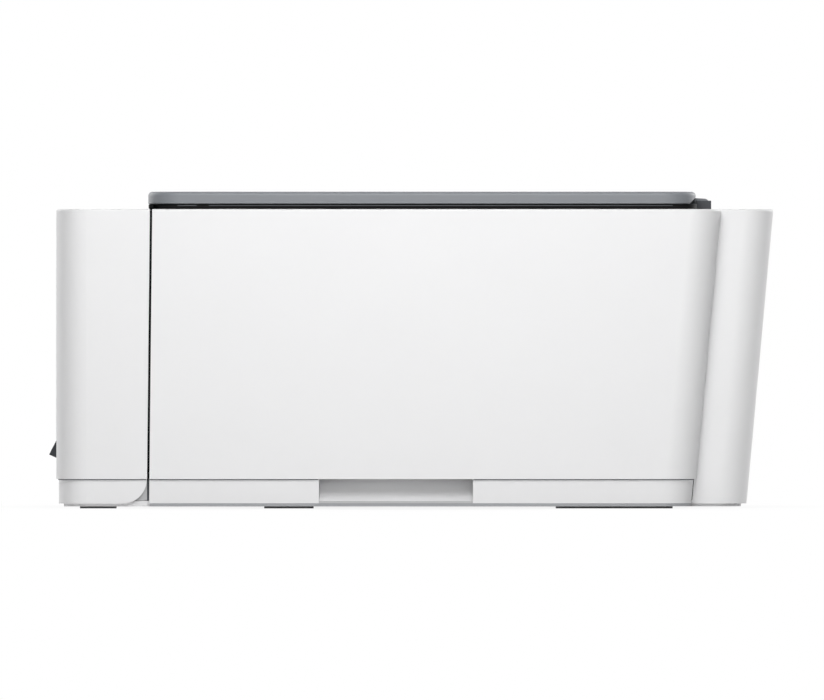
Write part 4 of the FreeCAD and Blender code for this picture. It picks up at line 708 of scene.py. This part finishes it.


# Seams: painted shade, as dark strips behind the upright and lower seams and a darkened grey web behind each
# skirt corner
CASE_WALL = 2.5
FINE_EDGE = 0.1
SEAM_SHADE_GAP = 0.25
SEAM_SHADE_T = 2.4
SEAM_SHADE_FRONT_LAP = 4.8
SEAM_SHADE_BACK_LAP = 3.7
SEAM_SHADE_BOTTOM = 3.1
SEAM_SHADE_TOP = 0.8
SEAM_SHADE_EDGE = 0.6
WEB_GAP = 0.5
WEB_T = 1.5
WEB_REACH = 18.0
WEB_LAP = 2.3
WEB_BOTTOM = 3.8
WEB_TOP = 0.2
WEB_EDGE = 0.3
LOWER_SEAM_SHADE_T = 0.4
LOWER_SEAM_SHADE_W = 1.0


def seam_shade_strips():
    """Painted shade in the seams: a black strip behind each upright one, and a dark strip and a darkened
    grey web behind each lower one.
    """
    low, high = node_span("front_cabinet")
    inner = high.x - CASE_WALL - SEAM_SHADE_GAP
    shade_strip = block("right_seam_seal", (inner - SEAM_SHADE_T, high.y - SEAM_SHADE_FRONT_LAP, low.z + SEAM_SHADE_BOTTOM),
                 (inner, high.y + SEAM_SHADE_BACK_LAP, high.z - SEAM_SHADE_TOP))
    soften(shade_strip, SEAM_SHADE_EDGE)
    both_sides(shade_strip, "deck_black", "body")
    skirt = node_span("front_skirt")[1]
    inner = skirt.x - CASE_WALL - WEB_GAP
    top = skirt.z - WEB_TOP
    web = block("right_corner_web", (inner - WEB_T, skirt.y - WEB_REACH, WEB_BOTTOM),
                (inner, skirt.y + WEB_LAP, top))
    soften(web, WEB_EDGE)
    both_sides(web, "painted_shade_grey", "body")
    shade_strip = block("right_lower_seam_seal", (inner, skirt.y, WEB_BOTTOM),
                 (inner + LOWER_SEAM_SHADE_T, skirt.y + LOWER_SEAM_SHADE_W, top))
    soften(shade_strip, FINE_EDGE, segments=1)
    both_sides(shade_strip, "hinge_grey", "body")


# The base's sides
BASE_FRONT = -129.3
SKIRT_CORNER = 13.7
TRIM_PROUD = 0.2
RIM_LOW = 1.1
RIM_TOP = 2.6
RIM_T = 0.8
RIM_BACK = 126.0
HOLD_MIDDLE_Y = -7.0
HOLD_LENGTH = 76.5
HOLD_FRONT = HOLD_MIDDLE_Y - HOLD_LENGTH / 2
HOLD_BACK = HOLD_MIDDLE_Y + HOLD_LENGTH / 2
HOLD_WALL_X = 194.55
HOLD_FLOOR = 3.7
HOLD_FIT = 0.05
SCOOP_REACH = 15.0
SCOOP_RISE = 16.0
SCOOP_TOP_T = 0.4
SCOOP_EDGE = 0.3


def base_bend(inner_x, outer_x, back, low, high):
    """A strip round the base's right-hand rear corner, from the side to the back."""
    axis = (node_span("base_pan")[1].x - SKIRT_CORNER, back, low)
    radius = (inner_x + outer_x) / 2 - axis[0]
    return arc_band("bend", axis, radius, outer_x - inner_x, high - low, facing=45, sweep=90)


def hand_holds():
    """The slope at the back of each hand-hold, the sill of its mouth, darkened with painted shade, and the
    rim under the base's side.
    """
    front = HOLD_FRONT + HOLD_FIT
    back = HOLD_BACK - HOLD_FIT
    slope = block("right_hold_cove", (HOLD_WALL_X + HOLD_FIT, front, HOLD_FLOOR + HOLD_FIT),
                  (HOLD_WALL_X + SCOOP_REACH, back, HOLD_FLOOR + SCOOP_RISE))

    def upper_outer(direction, middle):
        outside = middle.x > HOLD_WALL_X + SCOOP_REACH / 2
        return front_to_back(direction, middle) and outside and middle.z > HOLD_FLOOR + SCOOP_RISE / 2

    choose_edges(slope, upper_outer)
    bpy.ops.transform.translate(value=((SCOOP_TOP_T - SCOOP_REACH) * MM, 0, 0))
    soften(slope, SCOOP_EDGE, segments=2)
    both_sides(slope, "base_grey", "body")
    side = node_span("base_pan")[1].x
    # The sill is a darker grey than the base: painted shade over the pale front edge of the hold's floor.
    sill = block("right_hold_sill", (side, front, RIM_TOP), (side + TRIM_PROUD, back, HOLD_FLOOR - HOLD_FIT))
    soften(sill, FINE_EDGE, segments=1)
    both_sides(sill, "painted_shade_grey", "body")
    run = block("rim_run", (side - RIM_T, BASE_FRONT, RIM_LOW), (side + TRIM_PROUD, RIM_BACK, RIM_TOP))
    bend = base_bend(side - RIM_T, side + TRIM_PROUD, RIM_BACK, RIM_LOW, RIM_TOP)
    both_sides(combine("right_base_rim", [run, bend]), "button_grey", "body")


# The dark line between the case and the base: a painted shadow under the case's overhanging edge
LINE_T = 0.4
LINE_GAP = 0.02
LINE_PROUD = 0.45
LINE_ROOT = 0.1
LINE_BACK = 127.1
LINE_END_GAP = 0.25
FRONT_LINE_W = 0.8
FRONT_LINE_END = 0.4


def parting_shadow_lines():
    """A dark strip in the step between the case and the base, a painted shadow under the case's edge, round
    the front and along both sides.
    """
    low, high = node_span("front_skirt")
    bottom = high.z - LINE_T
    top = high.z - LINE_GAP
    front = block("front_parting_shadow", (low.x - LINE_PROUD, low.y - LINE_PROUD, bottom),
                  (high.x + LINE_PROUD, high.y - FRONT_LINE_END, top))

    def front_corner(direction, middle):
        return upright(direction, middle) and middle.y < low.y + SKIRT_CORNER

    choose_edges(front, front_corner)
    round_chosen(SKIRT_CORNER, segments=10)
    hollow(front, FRONT_LINE_W, UP)
    finish_piece(front, "hinge_grey", "body")
    side = node_span("base_pan")[1].x
    inner = side - LINE_ROOT
    outer = side + LINE_PROUD
    run = block("right_parting_seal", (inner, BASE_FRONT, bottom), (outer, HOLD_FRONT - LINE_END_GAP, top))
    soften(run, FINE_EDGE, segments=1)
    both_sides(run, "hinge_grey", "body")
    run = block("rear_run", (inner, HOLD_BACK + LINE_END_GAP, bottom), (outer, LINE_BACK, top))
    bend = base_bend(inner, outer, LINE_BACK, bottom, top)
    both_sides(combine("right_rear_parting_seal", [run, bend]), "hinge_grey", "body")


# The scanner deck's edges
BEAD_RISE = 1.5
BEAD_T = 0.5
BEAD_ROOT = 0.2
BEAD_PROUD = 0.35
BEAD_END = 12.0
BEAD_EDGE = 0.15
NOTCH_FRONT = -106.0
NOTCH_BACK = -100.0


def deck_highlight_beads():
    """Thin bead along each side of the scanner deck, notched near its front; its lighter grey is a painted
    highlight on the deck's edge.
    """
    low, high = node_span("scanner_deck")
    bottom = low.z + BEAD_RISE
    beads = []
    for front, back in ((low.y + BEAD_END, NOTCH_FRONT), (NOTCH_BACK, high.y - BEAD_END)):
        bead = block("bead_run", (high.x - BEAD_ROOT, front, bottom),
                     (high.x + BEAD_PROUD, back, bottom + BEAD_T))
        soften(bead, BEAD_EDGE, segments=2)
        beads.append(bead)
    both_sides(combine("right_deck_bead", beads), "hinge_grey", "scanner")


LIP_END = 3.0
LIP_REACH = 2.4
LIP_BOTTOM = 0.25
LIP_TOP = 0.1
LIP_GAP = 0.02
LIP_CORNER = 2.0
LIP_EDGE = 0.3


def deck_front_lip():
    """The soft black lip that closes the gap under the front of the document cover."""
    low, high = node_span("scanner_deck")
    lip = block("deck_front_lip", (low.x + LIP_END, low.y - LIP_REACH, low.z + LIP_BOTTOM),
                (high.x - LIP_END, low.y - LIP_GAP, high.z - LIP_TOP))

    def front_corner(direction, middle):
        return upright(direction, middle) and middle.y < low.y - LIP_REACH / 2

    choose_edges(lip, front_corner)
    round_chosen(LIP_CORNER, segments=4)
    soften(lip, LIP_EDGE, segments=2)
    finish_piece(lip, "deck_black", "scanner")


# Print on the tank window
PRINT_T = 0.06
WINDOW_FLANGE = 3.2
BORDER = 2.4
TANK_MIDDLES = {"black": 115.85, "cyan": 148.85, "magenta": 172.85, "yellow": 192.4}
MAIN_MARK = 9.0
SHORT_MARK = 4.0
MARK_W = 0.7
MARK_CORNER = 0.3
FULL_BELOW_TOP = 9.0
REFILL_HEIGHT = 15.0
MARK_STEP = 16.0
SPOT_HEIGHT = 7.0
SPOT_R = 1.9
SPOT_EDGE = 0.3


def window_print():
    """The window's dark border, and for each tank its level marks and a spot of its ink."""
    low, high = node_span("tank_window")
    face = low.y
    front = face - PRINT_T
    left, bottom = low.x + WINDOW_FLANGE, low.z + WINDOW_FLANGE
    right, top = high.x - WINDOW_FLANGE, high.z - WINDOW_FLANGE
    border = outline("window_border", (left, front, bottom), (right, face, top), BORDER, FORWARD)
    finish_piece(border, "panel_black", "body")
    refill = bottom + REFILL_HEIGHT
    levels = ((top - FULL_BELOW_TOP, MAIN_MARK), (refill, MAIN_MARK), (refill + MARK_STEP, SHORT_MARK),
              (refill + 2 * MARK_STEP, SHORT_MARK))
    marks = []
    for name, middle in TANK_MIDDLES.items():
        for height, length in levels:
            mark = block("level_mark", (middle - length / 2, front, height),
                         (middle + length / 2, face, height + MARK_W))
            choose_edges(mark, front_to_back)
            round_chosen(MARK_CORNER, segments=3)
            marks.append(mark)
        spot = disc(name + "_ink_spot", (middle, face - PRINT_T / 2, bottom + SPOT_HEIGHT), SPOT_R, PRINT_T,
                    vertices=32, rotation=(math.pi / 2, 0, 0))
        choose_faces(spot, facing_front)
        bpy.ops.mesh.inset(thickness=SPOT_EDGE * MM)
        finish_piece(spot, "cap_" + name, "body")
    finish_piece(combine("level_marks", marks), "white_shell", "body")


# Signs on the buttons: each is drawn round the middle of its button's top
BOLD_LINE = 0.55
THIN_LINE = 0.4
POWER_RING_R = 2.6
POWER_BAR_Y = 2.1
POWER_BAR_L = 2.6
WAVE_RADII = (1.5, 2.7, 3.9)
WAVE_LINE = 0.5
WAVE_FOOT = Vector((0, 1.6, 0))
WAVE_DOT_R = 0.6
PAGE_W = 2.6
PAGE_L = 3.4
PAGE_SHIFT = 0.7
TEXT_LINE_L = 1.4
TEXT_LINE_W = 0.35
TEXT_LINE_STEP = 0.8
TEXT_TOP_Y = 1.5
CROSS_L = 4.6
CROSS_W = 0.6


def power_symbol(place):
    """A ring open at the back, with a bar in the opening."""
    bar_place = place + Vector((0, POWER_BAR_Y, 0))
    return [arc_band("ring", place, POWER_RING_R, BOLD_LINE, PRINT_T, facing=-90, sweep=290, steps=24),
            stroke("bar", bar_place, POWER_BAR_L, BOLD_LINE, PRINT_T, turn=90)]


def wireless_symbol(place):
    """Three arcs over a dot."""
    foot = place - WAVE_FOOT
    parts = [arc_band("wave", foot, radius, WAVE_LINE, PRINT_T, facing=90, sweep=90, steps=10)
             for radius in WAVE_RADII]
    parts.append(lens("dot", foot, WAVE_DOT_R, PRINT_T))
    return parts


def page(place, shift):
    """A page's outline, moved to the right and back."""
    corner = place + Vector((shift - PAGE_W / 2, shift - PAGE_L / 2, 0))
    return outline("page", corner, corner + Vector((PAGE_W, PAGE_L, PRINT_T)), THIN_LINE, UP)


def mono_copy_symbol(place):
    """Two pages, one over the other."""
    return [page(place, -PAGE_SHIFT), page(place + Vector((0, 0, PRINT_T)), PAGE_SHIFT)]


def colour_copy_symbol(place):
    """Two pages, with three lines on the upper one."""
    parts = mono_copy_symbol(place)
    for count in range(3):
        line = place + Vector((PAGE_SHIFT, TEXT_TOP_Y - TEXT_LINE_STEP * count, PRINT_T))
        parts.append(stroke("line", line, TEXT_LINE_L, TEXT_LINE_W, PRINT_T, turn=0))
    return parts


def stop_symbol(place):
    """A cross."""
    over = place + Vector((0, 0, PRINT_T / 2))
    return [stroke("cross", place, CROSS_L, CROSS_W, PRINT_T, turn=45),
            stroke("cross", over, CROSS_L, CROSS_W, PRINT_T, turn=-45)]


def button_symbols():
    """A plain printed sign on each button, moving with it."""
    signs = {"power_button": power_symbol, "wireless_button": wireless_symbol,
             "mono_copy_button": mono_copy_symbol, "colour_copy_button": colour_copy_symbol,
             "stop_button": stop_symbol}
    for button, sign in signs.items():
        low, high = node_span(button)
        place = Vector(((low.x + high.x) / 2, (low.y + high.y) / 2, high.z))
        symbol = combine(button.replace("button", "symbol"), sign(place))
        finish_piece(symbol, "panel_black", button)


# Status lights: each one's place on the control panel, and its finish
LIGHT_R = 1.1
LIGHT_H = 0.2
LIGHTS = {
    "power_light": (-163.5, -152.5, "status_green"),
    "wireless_light": (-40.0, -142.8, "status_blue"),
    "paper_light": (54.0, -149.2, "status_amber"),
    "ink_light": (54.0, -155.8, "status_amber"),
}


def status_lights():
    """Small lenses in the control panel: power, wireless, and paper and ink alerts."""
    top = node_span("control_panel")[1].z
    for name, (x, y, finish) in LIGHTS.items():
        finish_piece(lens(name, (x, y, top), LIGHT_R, LIGHT_H), finish, "body")


# Print on the scanner deck
GLASS_CORNER = (152.5, -115.5)
SHEET_ENDS = (148.0, 182.0, 210.0)
ARROW_R = 4.2
ARROW_X = 6.0
ARROW_Y = 5.0
ARROW_CORNER = 0.4
TICK_L = 5.0
TICK_W = 0.5
TICK_OUT = 4.0


def deck_marks():
    """The printed corner arrow and sheet-size ticks on the scanner deck."""
    top = node_span("scanner_deck")[1].z
    x, y = GLASS_CORNER
    arrow = disc("arrow", (x + ARROW_X, y - ARROW_Y, top + PRINT_T / 2), ARROW_R, PRINT_T,
                 vertices=3, rotation=(0, 0, math.radians(45)))
    choose_edges(arrow, upright)
    round_chosen(ARROW_CORNER, segments=3)
    marks = [arrow]
    for reach in SHEET_ENDS:
        marks.append(stroke("tick", (x - reach, y - TICK_OUT, top), TICK_L, TICK_W, PRINT_T, turn=90))
        marks.append(stroke("tick", (x + TICK_OUT, y + reach, top), TICK_L, TICK_W, PRINT_T, turn=0))
    finish_piece(combine("deck_marks", marks), "white_shell", "scanner")


# The scan bar's optics: places and widths across the bar
OPTICS_END = 8.0
OPTICS_EDGE = 0.2
GUIDE_X = 4.0
GUIDE_W = 3.0
GUIDE_H = 0.5
LENS_ROW_X = 10.0
LENS_ROW_W = 1.6
LENS_ROW_H = 0.4


def scan_bar_optics():
    """The light guide and the row of lenses on top of the scan bar."""
    low, high = node_span("scan_bar")
    rows = (("scan_light_guide", GUIDE_X, GUIDE_W, GUIDE_H, "tube_clear"),
            ("scan_lens_row", LENS_ROW_X, LENS_ROW_W, LENS_ROW_H, "panel_black"))
    for name, left, width, height, finish in rows:
        row = block(name, (low.x + left, low.y + OPTICS_END, high.z),
                    (low.x + left + width, high.y - OPTICS_END, high.z + height))
        soften(row, OPTICS_EDGE)
        finish_piece(row, finish, "scan_bar")


# Sockets at the back
INLET_PITCH = 8.4
INLET_PIN_R = 1.2
INLET_DEEP = 6.5
INLET_Z = 22.0
PIN_SLEEVE = 0.08
PIN_SHORT = 1.2
PIN_BACK = 0.5
PIN_EDGE = 0.5
SOCKET_X = -70.0
SOCKET_Z = 21.0
SOCKET_HALF_W = 7.0
SOCKET_HALF_H = 6.0
SOCKET_DEEP = 8.0
BORE_HALF_W = 4.3
BORE_HALF_H = 3.95
BORE_FIT = 0.02
FLANGE_T = 0.15
SLEEVE_PROUD = 0.12
SLEEVE_T = 0.3
TONGUE_HALF_W = 2.4
TONGUE_FRONT = 2.2
TONGUE_LOW = 0.35
TONGUE_HIGH = 3.0
TONGUE_EDGE = 0.3


def socket_metal():
    """The inlet's bright pins, and the data socket's steel shell and pale tongue."""
    low, high = node_span("power_supply")
    middle = (low.x + high.x) / 2
    pin_y = high.y - INLET_DEEP / 2 - PIN_BACK
    pins = []
    for side in (-1, 1):
        pin = disc("pin", (middle + side * INLET_PITCH / 2, pin_y, INLET_Z), INLET_PIN_R + PIN_SLEEVE,
                   INLET_DEEP - PIN_SHORT, rotation=(math.pi / 2, 0, 0))
        soften(pin, PIN_EDGE)
        pins.append(pin)
    finish_piece(combine("inlet_pins", pins), "shaft_steel", "body")
    mouth = node_span("circuit_boards")[1].y
    inside = mouth - SOCKET_DEEP
    half_w = BORE_HALF_W - BORE_FIT
    half_h = BORE_HALF_H - BORE_FIT
    floor = SOCKET_Z - BORE_HALF_H
    shell = outline("data_socket_shell", (SOCKET_X - SOCKET_HALF_W, mouth, SOCKET_Z - SOCKET_HALF_H),
                    (SOCKET_X + SOCKET_HALF_W, mouth + FLANGE_T, SOCKET_Z + SOCKET_HALF_H),
                    SOCKET_HALF_H - BORE_HALF_H, FORWARD)
    sleeve = outline("sleeve", (SOCKET_X - half_w, inside, SOCKET_Z - half_h),
                     (SOCKET_X + half_w, mouth + SLEEVE_PROUD, SOCKET_Z + half_h), SLEEVE_T, FORWARD)
    finish_piece(combine("data_socket_shell", [shell, sleeve]), "screw_steel", "body")
    tongue = block("data_socket_tongue", (SOCKET_X - TONGUE_HALF_W, inside, floor + TONGUE_LOW),
                   (SOCKET_X + TONGUE_HALF_W, mouth - TONGUE_FRONT, floor + TONGUE_HIGH))
    soften(tongue, TONGUE_EDGE)
    finish_piece(tongue, "white_shell", "body")


# Ribs on the tray's sliding leaf
LEAF_TOP = 30.4
RIB_COUNT = 6
RIB_MARGIN = 22.0
RIB_W = 1.4
RIB_H = 0.4
RIB_FRONT = 9.0
RIB_BACK = 6.0
RIB_EDGE = 0.18


def extender_ribs():
    """Low ribs that carry the paper along the tray's sliding leaf."""
    low, high = node_span("tray_extender")
    left = low.x + RIB_MARGIN
    first = block("rib", (left, low.y + RIB_FRONT, LEAF_TOP),
                  (left + RIB_W, high.y - RIB_BACK, LEAF_TOP + RIB_H))
    soften(first, RIB_EDGE)
    step = (high.x - low.x - 2 * RIB_MARGIN - RIB_W) / (RIB_COUNT - 1)
    ribs = [first] + [copied(first, "rib", (step * place, 0, 0)) for place in range(1, RIB_COUNT)]
    finish_piece(combine("extender_ribs", ribs), "tray_dark", "tray_extender")


# Ridges on the tank lid
RIDGE_L = 26.0
RIDGE_W = 0.9
RIDGE_H = 0.3
RIDGE_PITCH = 1.9
RIDGE_FRONT = 4.0


def tank_lid_grip():
    """Three finger ridges along the front of the tank lid."""
    low, high = node_span("tank_lid")
    middle = (low.x + high.x) / 2
    first = stroke("ridge", (middle, low.y + RIDGE_FRONT, high.z), RIDGE_L, RIDGE_W, RIDGE_H, turn=0)
    ridges = [first] + [copied(first, "ridge", (0, RIDGE_PITCH * place, 0)) for place in (1, 2)]
    finish_piece(combine("tank_lid_grip", ridges), "white_shell", "tank_lid")


# Ink dampers in the carriage's well
WELL_LOW = Vector((117.5, 20.5, 60.5))
WELL_HIGH = Vector((182.5, 61.5, 108.0))
DAMPER_H = 34.0
DAMPER_GAP = 1.0
DAMPER_REST = 0.1
DAMPER_STEP = 2.0
DAMPER_RISE = 1.6
DAMPER_EDGE = 0.7
SPIGOT_R = 2.2
SPIGOT_H = 8.0
SPIGOT_Y = 12.0
SPIGOT_WALL = 0.9
SPIGOT_BORE = 3.0
SPIGOT_EDGE = 0.2


def ink_dampers():
    """Four ink dampers in the carriage's well, each with its tube spigot."""
    pitch = (WELL_HIGH.x - WELL_LOW.x) / len(INKS)
    top = WELL_LOW.z + DAMPER_H
    for place, name in enumerate(INKS):
        left = WELL_LOW.x + pitch * place + DAMPER_GAP
        width = pitch - 2 * DAMPER_GAP
        damper = block("damper", (left, WELL_LOW.y + DAMPER_GAP, WELL_LOW.z + DAMPER_REST),
                       (left + width, WELL_HIGH.y - DAMPER_GAP, top))
        choose_faces(damper, facing_up)
        step_chosen(DAMPER_STEP, DAMPER_RISE)
        soften(damper, DAMPER_EDGE, segments=2)
        spigot = disc("spigot", (left + width / 2, WELL_LOW.y + SPIGOT_Y, top + SPIGOT_H / 2),
                      SPIGOT_R, SPIGOT_H)
        choose_faces(spigot, facing_up)
        step_chosen(SPIGOT_WALL, -SPIGOT_BORE)
        soften(spigot, SPIGOT_EDGE, segments=2)
        finish_piece(combine(name + "_damper", [damper, spigot]), "cap_" + name, "carriage")


# The bare plate at the back
REAR_LEAN = math.tan(math.radians(5.2))
PLATE_LEFT = -150.0
PLATE_RIGHT = -86.0
PLATE_BOTTOM = 40.0
PLATE_H = 26.0
PLATE_ROOT = 0.3
PLATE_PROUD = 0.25
PLATE_CORNER = 2.0
PLATE_EDGE = 0.08


def rating_plate():
    """A bare plate on the leaning back of the shroud."""
    high = node_span("rear_shroud")[1]
    back = high.y - (high.z - PLATE_BOTTOM) * REAR_LEAN
    plate = block("rating_plate", (PLATE_LEFT, back - PLATE_ROOT, PLATE_BOTTOM),
                  (PLATE_RIGHT, back + PLATE_PROUD, PLATE_BOTTOM + PLATE_H))
    choose_faces(plate, facing_up)
    bpy.ops.transform.translate(value=(0, PLATE_H * REAR_LEAN * MM, 0))
    choose_edges(plate, front_to_back)
    round_chosen(PLATE_CORNER, segments=4)
    soften(plate, PLATE_EDGE, segments=1)
    finish_piece(plate, "button_grey", "body")


# The stage, in metres
FLOOR_SIZE = 60.0
FLOOR_Z = -0.0002
FLOOR_TINT = (0.78, 0.78, 0.78, 1)
FADE_STRETCH = (1.0, 1.8, 1.0)
FADE_START = 0.14
FADE_END = 0.45
WHITE_NEAR = 0.86
WORLD_LIGHT = 0.07
# Each lamp's place, aim, size and power in watts
LAMPS = {
    "overhead_softbox": ((0.0, 0.0, 2.4), (0, 0, 0.1), 2.0, 7.5),
    "right_softbox": ((0.80, 0.0, 0.54), (0.2, 0, 0.1), 0.45, 3.9),
    "right_fill": ((2.4, 0.0, 0.2), (0.2, 0, 0.1), 0.8, 6.5),
    "left_softbox": ((-0.80, 0.0, 0.54), (-0.2, 0, 0.1), 0.45, 1.7),
    "front_softbox": ((-1.6, -2.0, 0.9), (0, 0, 0.09), 1.5, 30.0),
    "back_softbox": ((-1.6, 2.0, 0.9), (0, 0, 0.09), 1.5, 33.0),
}


def seen_ray(tree):
    """1 on rays that show the background: camera, glossy and transmission rays."""
    path = tree.nodes.new("ShaderNodeLightPath")
    seen = math_node(tree, "MAXIMUM", path.outputs["Is Camera Ray"], path.outputs["Is Glossy Ray"])
    return math_node(tree, "MAXIMUM", seen, path.outputs["Is Transmission Ray"])


def add_floor():
    """A pale floor that keeps some shadow near the part and shows white further off."""
    deselect()
    bpy.ops.mesh.primitive_plane_add(size=FLOOR_SIZE, location=(0, 0, FLOOR_Z))
    floor = bpy.context.object
    floor.name = "studio_floor"
    finish = bpy.data.materials.new("studio_floor")
    finish.use_nodes = True
    tree = finish.node_tree
    tree.nodes.remove(tree.nodes["Principled BSDF"])
    matt = tree.nodes.new("ShaderNodeBsdfDiffuse")
    matt.inputs["Color"].default_value = FLOOR_TINT
    glow = tree.nodes.new("ShaderNodeEmission")
    glow.inputs["Strength"].default_value = 1.0
    mix = tree.nodes.new("ShaderNodeMixShader")
    stretch = tree.nodes.new("ShaderNodeMapping")
    stretch.inputs["Scale"].default_value = FADE_STRETCH
    tree.links.new(tree.nodes.new("ShaderNodeTexCoord").outputs["Object"], stretch.inputs["Vector"])
    reach = tree.nodes.new("ShaderNodeVectorMath")
    reach.operation = "LENGTH"
    tree.links.new(stretch.outputs["Vector"], reach.inputs[0])
    fade = tree.nodes.new("ShaderNodeMapRange")
    fade.interpolation_type = "SMOOTHSTEP"
    fade.inputs["From Min"].default_value = FADE_START
    fade.inputs["From Max"].default_value = FADE_END
    fade.inputs["To Min"].default_value = WHITE_NEAR
    fade.inputs["To Max"].default_value = 1.0
    tree.links.new(reach.outputs["Value"], fade.inputs["Value"])
    tree.links.new(math_node(tree, "MULTIPLY", seen_ray(tree), fade.outputs[0]), mix.inputs[0])
    tree.links.new(matt.outputs[0], mix.inputs[1])
    tree.links.new(glow.outputs[0], mix.inputs[2])
    tree.links.new(mix.outputs[0], tree.nodes["Material Output"].inputs["Surface"])
    floor.data.materials.append(finish)


def add_light():
    """A surround that shows white and lights little, and the broad lamps."""
    world = bpy.data.worlds.new("studio")
    scene.world = world
    world.use_nodes = True
    tree = world.node_tree
    back = tree.nodes["Background"]
    back.inputs["Color"].default_value = (1, 1, 1, 1)
    level = tree.nodes.new("ShaderNodeMapRange")
    level.inputs["To Min"].default_value = WORLD_LIGHT
    level.inputs["To Max"].default_value = 1.0
    tree.links.new(seen_ray(tree), level.inputs["Value"])
    tree.links.new(level.outputs[0], back.inputs["Strength"])
    for name, (place, aim, size, power) in LAMPS.items():
        bpy.ops.object.light_add(type="AREA", location=place)
        lamp = bpy.context.object
        lamp.name = name
        lamp.data.size = size
        lamp.data.energy = power
        lamp.rotation_euler = (Vector(aim) - Vector(place)).to_track_quat("-Z", "Y").to_euler()


add_camera()
add_floor()
add_light()
dress_nodes()
foam_pad()
ink_in_tanks()
seam_shade_strips()
hand_holds()
parting_shadow_lines()
deck_highlight_beads()
deck_front_lip()
window_print()
button_symbols()
status_lights()
deck_marks()
scan_bar_optics()
socket_metal()
extender_ribs()
tank_lid_grip()
ink_dampers()
rating_plate()
